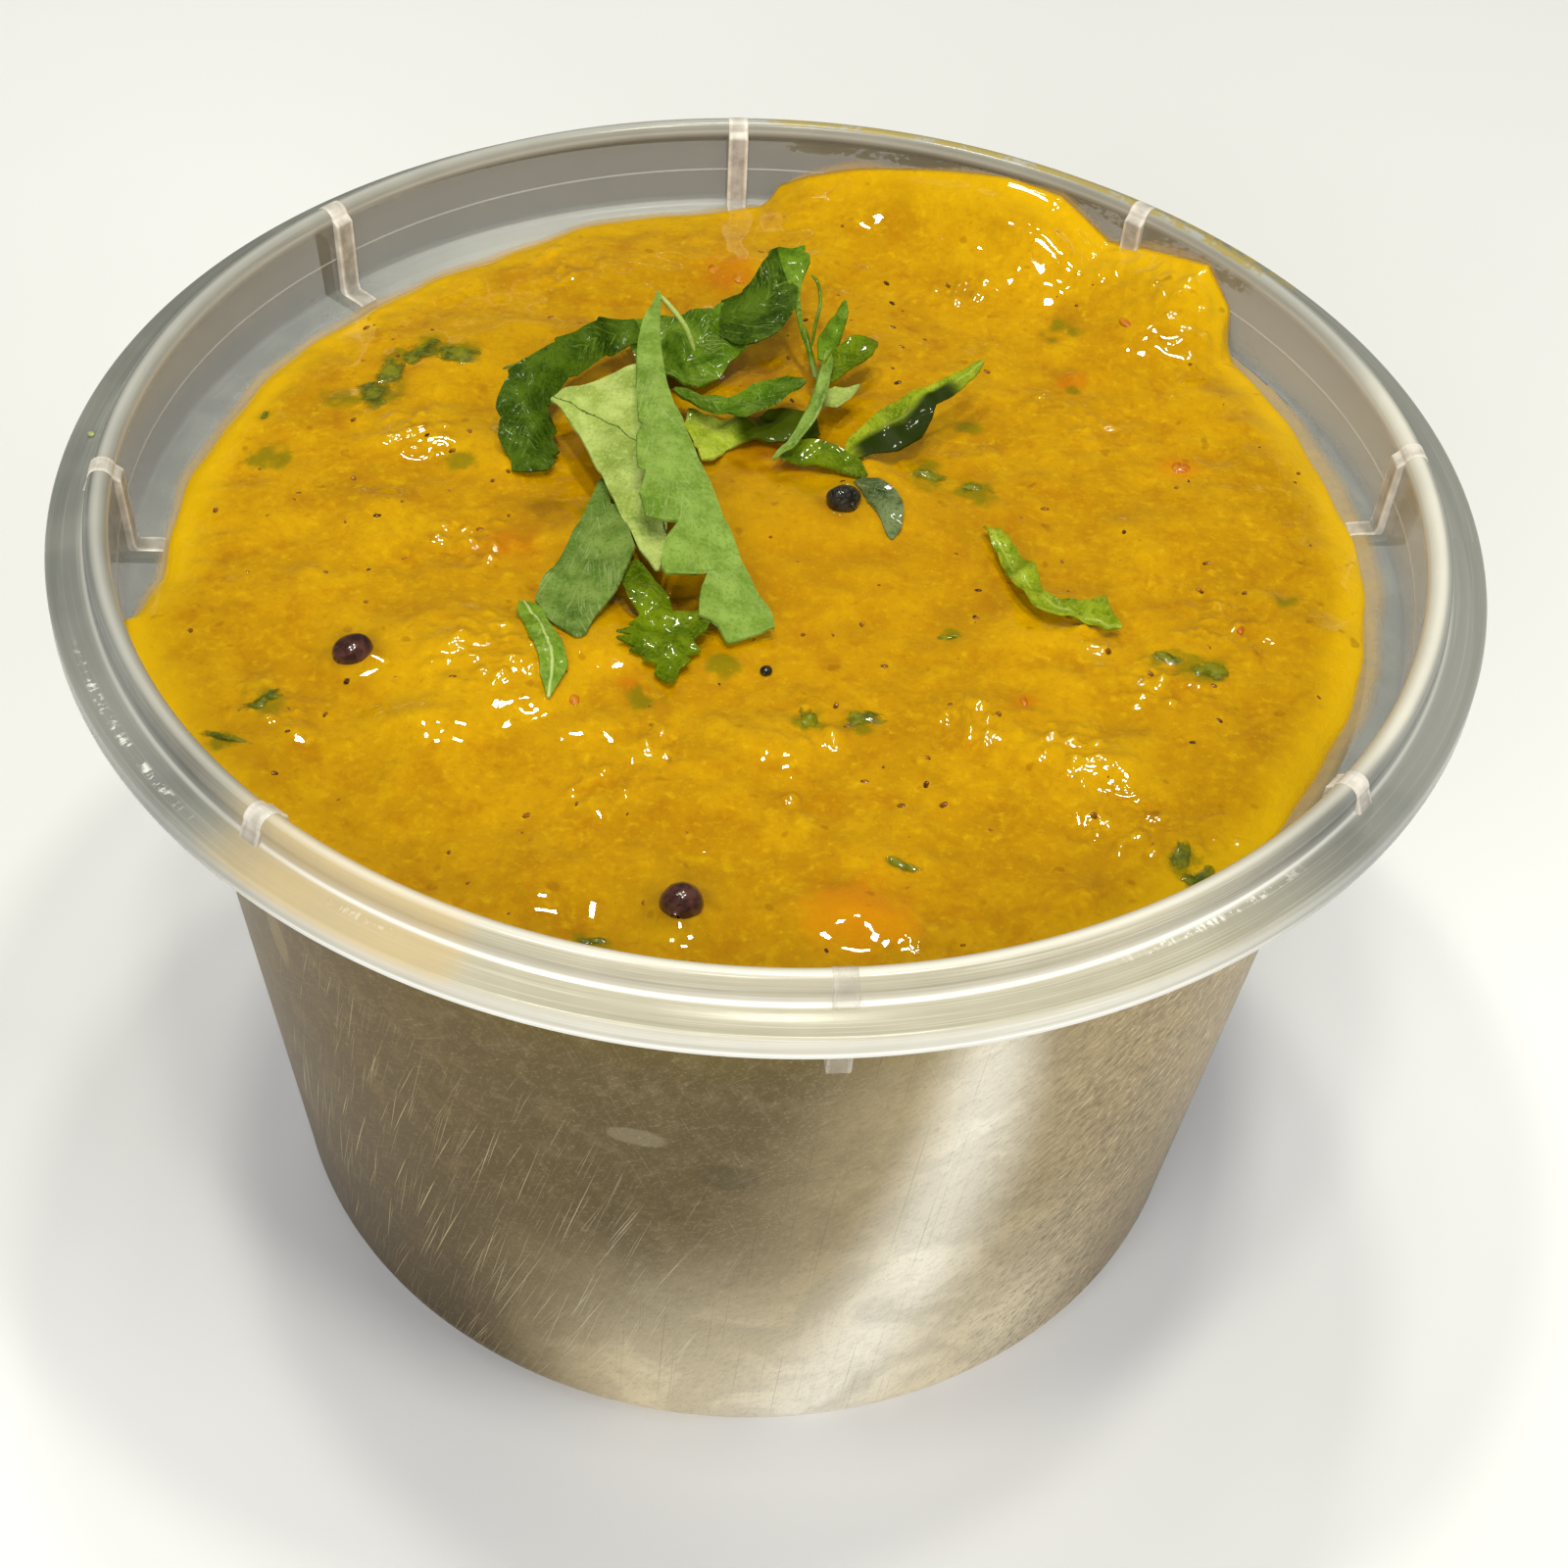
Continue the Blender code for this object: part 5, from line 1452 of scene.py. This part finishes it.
# %% The shreds
SHREDS = {
    "leaf_long": dict(
        look="matt", cup=0.3, rows=260,
        axis=[(-11.7, 26.0, 6.9, 0), (-11.8, 18.9, 6.7, 0), (-10.9, 11.7, 6.2, -4), (-9.1, 4.6, 5.4, -6),
              (-7.5, -.6, 4.4, -8), (-5.5, -5.8, 3.0, -8), (-3.1, -9.7, 1.7, -5), (-1.1, -13.3, .9, 0)],
        low=[(0, -.1), (.05, -.4), (.11, -.9), (.18, -1.2), (.29, -1.4), (.42, -1.9), (.43, -1.6),
             (.47, -2.5), (.565, -3.2), (.57, -2.5), (.62, -3.6), (.685, -3.8), (.69, -1.0), (.74, -2.8),
             (.79, -4.1), (.81, -4.0), (.815, -.3), (.84, -1.5), (.87, -2.4), (.91, -3.2), (.94, -2.0),
             (.97, -2.0), (1, -1.6)],
        high=[(0, .1), (.07, .5), (.19, .9), (.32, 1.2), (.43, 1.9), (.53, 2.3), (.62, 2.9), (.76, 3.2),
              (.88, 2.8), (.97, 2.6), (1, 2.2)]),
    "leaf_pale": dict(
        look="pale", cup=0.2,
        axis=[(-16.8, 14.9, 4.4, 8), (-14.4, 9.6, 4.1, 8), (-12.4, 3.7, 3.4, 6), (-10.6, -1.8, 2.6, 4),
              (-9.1, -6.7, 1.9, 0)],
        low=[(0, -2.6), (.03, -4.1), (.06, -3.7), (.32, -3.0), (.53, -2.3), (.72, -1.7), (.89, -1.1),
             (1, -.1)],
        high=[(0, 4.6), (.06, 4.4), (.35, 2.6), (.6, 1.9), (.8, 1.8), (.93, .9), (1, .1)]),
    "leaf_left": dict(
        look="left", cup=0.4,
        axis=[(-14.7, 4.4, 2.2, 0), (-14.6, .7, 2.2, 6), (-14.7, -3.5, 1.9, 8), (-15.0, -8.3, 1.6, 6),
              (-15.5, -12.2, 1.2, 3), (-14.9, -15.4, .9, 0)],
        low=[(0, -.1), (.12, -.7), (.31, -1.6), (.48, -2.3), (.69, -3.4), (.79, -3.4), (.89, -1.6), (1, -.1)],
        high=[(0, .1), (.1, .7), (.19, .9), (.2, 1.6), (.24, 2.0), (.46, 3.7), (.55, 3.5), (.77, 2.5),
              (.97, .8), (1, .1)]),
    "leaf_tip": dict(
        look="tip", cup=0.3,
        axis=[(-19.8, -11.0, 1.0, 0), (-18.1, -14.2, 1.1, 10), (-16.7, -18.1, 1.0, 10),
              (-16.5, -22.2, .6, 0)],
        low=[(0, -.4), (.09, -1.0), (.42, -1.3), (.8, -.9), (1, -.1)],
        high=[(0, .3), (.08, .8), (.38, 1.0), (.72, 1.3), (.84, .8), (1, .1)]),
    "leaf_lobed": dict(
        look="bright", cup=0.5, rest=0.12, rows=200, wave=0.2,
        axis=[(-11.1, -5.4, 1.6, 0), (-9.8, -8.9, 1.5, 0), (-8.7, -12.0, 1.1, 0), (-7.7, -14.7, .9, 0),
              (-7.0, -19.3, .5, 0)],
        low=[(0, -.1), (.18, -1.9), (.32, -1.8), (.43, -1.3), (.48, -1.9), (.51, -2.6), (.525, -2.2),
             (.56, -3.9), (.58, -3.7), (.60, -2.7), (.64, -4.1), (.67, -3.9), (.69, -2.6), (.74, -3.2),
             (.77, -2.0), (.81, -2.2), (.85, -1.0), (.90, -1.3), (1, -.1)],
        high=[(0, .1), (.15, .9), (.35, 1.5), (.46, 1.4), (.50, 2.4), (.515, 2.2), (.54, 4.3),
              (.565, 4.2), (.585, 2.9), (.62, 3.8), (.66, 3.3), (.68, 2.1), (.74, 2.7), (.78, 1.4),
              (.83, 1.8), (.88, .8), (1, .1)]),
    "leaf_curl": dict(
        look="deep", cup=-0.5, rows=200, wave=0.14,
        axis=[(-13.3, 24.4, 3.4, -30), (-16.0, 22.8, 3.8, -35), (-18.4, 20.0, 4.0, -35),
              (-20.7, 17.0, 4.0, -30), (-22.3, 14.2, 3.4, -20), (-22.2, 11.2, 2.4, -10),
              (-21.5, 8.8, 1.3, 0), (-20.6, 6.7, .6, 0)],
        low=[(0, -1.2), (.08, -1.7), (.14, -2.0), (.15, -1.6), (.28, -1.8), (.35, -2.3), (.36, -1.9),
             (.50, -2.2), (.58, -2.7), (.595, -2.2), (.70, -2.6), (.74, -2.1), (.81, -2.5), (.90, -1.8),
             (.95, -2.1), (.975, -1.2), (1, -.2)],
        high=[(0, 1.2), (.17, 1.6), (.19, 1.3), (.38, 1.9), (.42, 1.6), (.60, 2.2), (.63, 1.9), (.79, 2.8),
              (.82, 2.2), (.90, 2.6), (.93, 1.7), (.96, 1.9), (1, .4)]),
    "leaf_back": dict(
        look="fresh", cup=0.4, wave=0.25,
        axis=[(-13.8, 22.8, 1.9, 8), (-10.8, 24.0, 2.2, 12), (-7.7, 24.8, 2.6, 14), (-4.9, 26.1, 2.9, 12),
              (-2.2, 27.2, 3.2, 8)],
        low=[(0, -3.0), (.31, -4.8), (.45, -5.6), (.67, -3.2), (.95, -1.0), (1, -.6)],
        high=[(0, 3.0), (.13, 3.6), (.3, 3.3), (.5, 3.4), (.62, 3.0), (.75, 3.6), (.87, 2.9), (1, .9)]),
    "leaf_peak": dict(
        look="deep", cup=-0.3,
        axis=[(-6.1, 27.7, 3.4, 10), (-3.5, 27.8, 4.3, 15), (-1.5, 29.1, 5.4, 15), (-.4, 31.6, 6.3, 10),
              (-.1, 34.2, 6.7, 0)],
        low=[(0, -2.4), (.13, -3.4), (.24, -3.8), (.38, -3.4), (.63, -1.7), (.89, -1.2), (1, -1.0)],
        high=[(0, 2.0), (.3, 2.6), (.73, 2.2), (.95, 1.9), (1, 1.2)]),
    "leaf_hook": dict(
        look="fresh", cup=0.2, rest=0.6,
        axis=[(-.1, 34.2, 6.9, 0), (.3, 31.8, 6.5, 0), (.6, 30.0, 5.6, 0), (1.1, 27.7, 4.2, 0),
              (1.7, 25.5, 2.8, 0)],
        low=[(0, -1.2), (.05, -1.4), (.2, -1.3), (.38, -.8), (.57, -.4), (1, -.1)],
        high=[(0, 1.3), (.08, 1.2), (.12, 1.6), (.21, 1.5), (.4, .6), (.56, .2), (1, .15)]),
    "leaf_bow": dict(
        look="fresh", cup=0.35,
        axis=[(-9.6, 17.7, 2.3, -10), (-7.0, 16.1, 2.4, -10), (-4.4, 15.0, 2.6, -10), (-1.9, 16.1, 2.8, -10),
              (.2, 17.9, 3.0, -10), (2.0, 18.7, 3.2, -10)],
        low=[(0, -.2), (.13, -1.2), (.27, -1.5), (.43, -1.0), (.49, -2.4), (.54, -2.0), (.73, -1.5),
             (.95, -.8), (1, -.2)],
        high=[(0, .3), (.14, .4), (.28, 1.2), (.5, 1.8), (.71, 2.2), (.92, 1.6), (1, .3)]),
    "leaf_under": dict(
        look="lime", cup=0.2, rest=0.15, wave=0.2, dark=(0.38, 1.3, -0.3, 1.3),
        axis=[(-8.3, 14.4, 1.2, 0), (-4.8, 14.1, 1.1, 0), (-1.3, 14.9, 1.0, 0), (3.4, 15.7, 1.0, 0)],
        low=[(0, -1.0), (.10, -2.4), (.19, -5.4), (.25, -4.9), (.30, -2.9), (.36, -2.3), (.47, -2.0),
             (.71, -2.4), (1, -1.6)],
        high=[(0, 1.4), (.21, 1.2), (.49, 1.2), (.65, 2.2), (.83, 2.0), (1, 1.6)]),
    "leaf_stem": dict(
        look="matt", cup=0.3,
        axis=[(4.0, 24.2, 3.5, 10), (3.8, 20.1, 3.6, 10), (3.3, 16.4, 3.4, 10), (2.4, 13.2, 2.8, 10),
              (1.0, 10.9, 2.0, 5), (-.3, 9.3, 1.4, 0)],
        low=[(0, -.2), (.24, -.5), (.42, -.5), (.67, -.6), (.89, -.4), (1, -.1)],
        high=[(0, .2), (.24, .5), (.45, .6), (.67, .6), (.85, .4), (1, .1)]),
    "leaflet_a": dict(
        look="fresh", cup=0.3,
        axis=[(3.3, 21.8, 3.4, 10), (4.1, 24.8, 3.8, 10), (4.8, 27.6, 4.0, 10), (5.2, 30.5, 4.0, 0)],
        low=[(0, -.4), (.22, -.9), (.37, -.8), (.84, -.5), (1, -.1)],
        high=[(0, .3), (.2, .9), (.48, .8), (.92, .3), (1, .1)]),
    "leaflet_b": dict(
        look="bright", cup=0.3,
        axis=[(3.3, 18.2, 3.2, 10), (5.0, 21.3, 3.3, 10), (6.8, 23.8, 3.4, 10), (8.2, 25.4, 3.4, 0)],
        low=[(0, -.3), (.2, -.7), (.45, -1.0), (.79, -1.2), (.95, -.6), (1, -.2)],
        high=[(0, .3), (.24, 1.2), (.5, 1.4), (.75, 1.5), (.93, .9), (1, .2)]),
    "leaflet_c": dict(
        look="pale", cup=0.3,
        axis=[(3.5, 17.0, 2.4, 0), (5.0, 17.9, 2.4, 0), (6.9, 19.7, 2.6, 0)],
        low=[(0, -.4), (.21, -1.4), (.61, -.7), (1, -.1)],
        high=[(0, .4), (.1, .9), (.55, 1.2), (1, .1)]),
    "leaf_fold": dict(
        look="lone", cup=1.1, dark=(0.06, 0.74, -0.3, 0.70),
        axis=[(6.0, 11.1, 1.0, 20), (7.8, 12.0, 2.2, 30), (10.0, 13.5, 3.4, 35), (12.8, 15.9, 4.2, 30),
              (15.4, 18.3, 4.6, 20), (17.8, 21.4, 4.8, 0)],
        low=[(0, -.4), (.14, -1.4), (.25, -3.0), (.38, -3.2), (.50, -2.0), (.57, -1.0), (.69, -1.0),
             (.92, -.5), (1, -.1)],
        high=[(0, .4), (.04, 1.1), (.21, 1.4), (.47, 1.2), (.78, .7), (.93, .5), (1, .15)]),
    "leaf_step": dict(
        look="bright", cup=0.25, rest=0.12,
        axis=[(.4, 10.0, .9, 0), (3.2, 11.0, 1.1, 10), (6.0, 10.2, 1.1, 10), (7.9, 8.7, .9, 0)],
        low=[(0, -.2), (.25, -1.0), (.48, -1.5), (.81, -1.4), (1, -.6)],
        high=[(0, .6), (.23, 1.6), (.41, 1.4), (.62, 1.2), (.81, 1.0), (1, .2)]),
    "leaf_wet": dict(
        look="wet", cup=0.4, rest=0.12,
        axis=[(7.4, 8.1, .9, 0), (9.3, 6.1, 1.0, 0), (10.1, 3.8, .8, 0), (10.3, .8, .4, 0)],
        low=[(0, -.8), (.25, -1.6), (.43, -1.7), (.73, -.9), (.91, -.5), (1, -.1)],
        high=[(0, .4), (.14, 1.0), (.37, 1.4), (.59, 1.2), (.86, .8), (1, .1)]),
    "leaf_lone": dict(
        look="lone", cup=0.9, rest=0.12, wave=0.3,
        axis=[(18.4, 2.8, .9, 0), (20.6, -2.3, 1.0, 10), (22.9, -6.4, 1.0, 12), (25.9, -7.6, 1.0, 12),
              (29.5, -9.1, .8, 0)],
        low=[(0, -.3), (.2, -.6), (.45, -1.1), (.61, -1.4), (.7, -1.3), (.84, -.5), (1, -.1)],
        high=[(0, .2), (.04, .9), (.29, 1.1), (.46, 1.1), (.66, .7), (.76, .8), (.87, 1.4), (1, .1)]),
}

for node, spec in SHREDS.items():
    look = spec.pop("look")
    shred = leaf(node + "_blade", **spec)
    dress(shred, LEAF_LOOKS[look], LOOK_SLOTS.get(look, "leaf_fresh"))
    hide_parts(node)


# %% [markdown]
# Thin stems hold the heap together. Two of them hang from the arched leaf, a third goes on
# down from their ends, a fine one sticks out at the left, and a pale sliver curls off the long
# blade. A stem is a circle carried along a path.

# %% Stems
def tube(path, radius, sides=8, rows=40):
    """Circle of the radius at each point of the path, in the plane across its direction."""
    middle = along(path, np.linspace(0, 1, rows))
    ahead = np.gradient(middle, axis=0)
    ahead /= np.linalg.norm(ahead, axis=1)[:, None]
    across = np.cross(ahead, (0.3, 0.9, 0.3))
    across /= np.linalg.norm(across, axis=1)[:, None]
    up = np.cross(across, ahead)
    turn = (np.arange(sides) * 2 * math.pi / sides)[None, :, None]
    size = radius * np.sqrt(np.clip(1.02 - np.linspace(-1, 1, rows) ** 8, 0, 1))[:, None, None]
    ring = middle[:, None] + size * (across[:, None] * np.cos(turn) + up[:, None] * np.sin(turn))
    points = np.vstack([ring.reshape(-1, 3), middle[0], middle[-1]])
    here = np.arange(sides)
    after = np.roll(here, -1)
    foot = (rows - 1) * sides
    tips = np.vstack([np.column_stack([after, here, np.full(sides, len(points) - 2)]),
                      np.column_stack([foot + here, foot + after, np.full(sides, len(points) - 1)])])
    return points, grid_faces(rows, sides, True), tips


def joined(name, pieces, closed=True):
    """Pieces, each with its points and its arrays of faces, as one mesh: a piece's faces count
    on from the points before it."""
    shifts = np.cumsum([0] + [len(piece[0]) for piece in pieces[:-1]])
    points, *faces = zip(*pieces)
    faces = [np.vstack([group + shift for group, shift in zip(kind, shifts)]) for kind in faces]
    return put_mesh(name, np.vstack(points), *faces, closed=closed)


STEMS = [
    (0.28, [(1.5, 26.6, 72.6), (2.0, 25.0, 71.9), (2.6, 22.8, 71.2), (2.9, 20.6, 71.3)]),
    (0.16, [(1.9, 32.0, 74.6), (2.6, 31.2, 74.2), (2.9, 29.2, 73.4), (2.6, 27.0, 72.6), (2.4, 24.6, 71.9)]),
    (0.24, [(3.2, 21.0, 72.0), (3.2, 18.8, 72.3), (2.8, 16.2, 72.0), (2.2, 14.0, 71.6)]),
    (0.14, [(-23.0, 18.4, 72.4), (-24.2, 19.0, 71.6), (-25.2, 19.8, 70.6)]),
]
PALE_SLIVER = [(-12.0, 26.4, 75.4), (-10.2, 24.4, 74.9), (-8.9, 22.4, 74.4), (-8.0, 20.1, 73.7)]
stems = joined("thin_stems", [tube(path, radius) for radius, path in STEMS])
sliver = joined("pale_sliver", [tube(PALE_SLIVER, 0.26)])
for thing, look in ((stems, "fresh"), (sliver, "pale")):
    paint(thing, "dark", np.zeros(len(thing.data.vertices)))
    dress(thing, LEAF_LOOKS[look], LOOK_SLOTS.get(look, "leaf_fresh"))


# %% [markdown]
# Chopped flakes lie half under the dal's surface. Each is a small torn oval sheet, bowed along
# its length, whose alpha fades unevenly towards its rim, as the dal creeps over it.

# %% Chopped flakes
# Each row is x, y, half-length, half-width and turn in degrees.
FLAKES = [
    (-36.2, 16.9, 2.6, 1.9, 75), (-35.6, 20.4, 2.3, 1.7, 60), (-33.0, 23.2, 2.6, 1.8, 15),
    (-29.6, 22.8, 2.4, 1.6, -25), (-38.9, -23.9, 2.4, 0.8, 40), (-41.0, -28.7, 2.3, 0.45, -12),
    (33.2, -11.7, 1.7, 0.7, -10), (36.8, -13.0, 1.9, 1.3, -25), (4.0, -21.7, 1.1, 1.0, 80),
    (8.6, -21.4, 1.9, 1.0, 12), (11.9, -37.3, 1.6, 0.5, 0), (33.0, -33.8, 1.7, 1.0, 65),
    (34.6, -35.6, 1.8, 1.1, 15), (13.6, 10.3, 2.0, 0.7, 8), (-45.6, 13.2, 0.9, 0.35, 70),
    (15.3, -10.7, 1.1, 0.25, 10), (-10.6, -46.4, 1.3, 0.45, 0), (17.2, 9.0, 1.2, 0.6, 30),
]
FLAKE_ROWS, FLAKE_COLUMNS = 13, 9


def flake(x, y, long, wide, turn):
    """A small torn oval laid on the dal, bowed along its length, whose rim dips below."""
    s = np.linspace(-1, 1, FLAKE_ROWS)[:, None]
    t = np.linspace(-1, 1, FLAKE_COLUMNS)[None]
    phase = x * 1.7 + y
    torn = 1 + 0.16 * np.sin(5 * s + phase) + 0.08 * np.sin(11 * s + 2 * phase) * t
    u = s * long + 0.15 * wide * np.sin(5 * t + phase)
    v = t * wide * torn * np.sqrt(np.clip(1.03 - s**2, 0, 1)) + 0.3 * wide * np.cos(2.2 * s + phase)
    c, n = math.cos(math.radians(turn)), math.sin(math.radians(turn))
    px, py = x + u * c - v * n, y + u * n + v * c
    bow = 0.05 - 0.24 * (s**2 + 0.8 * t**2) / 1.8 + 0.09 * np.sin(6 * s + 4 * t + phase)
    pz = dal_surface(px, py) + bow
    return np.stack([px, py, pz], -1).reshape(-1, 3), grid_faces(FLAKE_ROWS, FLAKE_COLUMNS)


def flake_finish():
    """Olive to deep green under a wet coat, with an uneven edge cut by alpha."""
    board = Board("wet_flake", {"IOR": 1.4, "Coat Weight": 0.8, "Coat Roughness": 0.05})
    place = board.place()
    mottle = board.noise(place, 1.6, 3.0, 0.6)
    cells = board.noise(place, 0.4, 3.0, 0.7)
    colour = board.mix(mottle.fade(0.35, 0.65), (0.060, 0.088, 0.0006), (0.220, 0.220, 0.001))
    colour = board.mix(cells.fade(0.52, 0.70) * 0.5, colour, (0.28, 0.28, 0.004))
    board.feed("Base Color", colour)
    torn = mottle + (cells - 0.5) * 0.4 + (board.read("inside") - 0.5) * 0.9
    board.feed("Alpha", torn.fade(0.12, 0.62) * 0.90)
    board.bump(mottle, 0.10)
    return board


flakes = joined("chopped_flakes", [flake(*row) for row in FLAKES], closed=False)
along_flake, across_flake = np.linspace(-1, 1, FLAKE_ROWS)[:, None], np.linspace(-1, 1, FLAKE_COLUMNS)
from_rim = 1 - np.maximum(np.abs(along_flake), np.abs(across_flake))
paint(flakes, "inside", np.tile(from_rim.ravel(), len(FLAKES)))
sheet_wall = flakes.modifiers.new("Thickness", "SOLIDIFY")
sheet_wall.thickness = 0.2 * MM
sheet_wall.offset = 0.0
dress(flakes, flake_finish(), "leaf_deep")
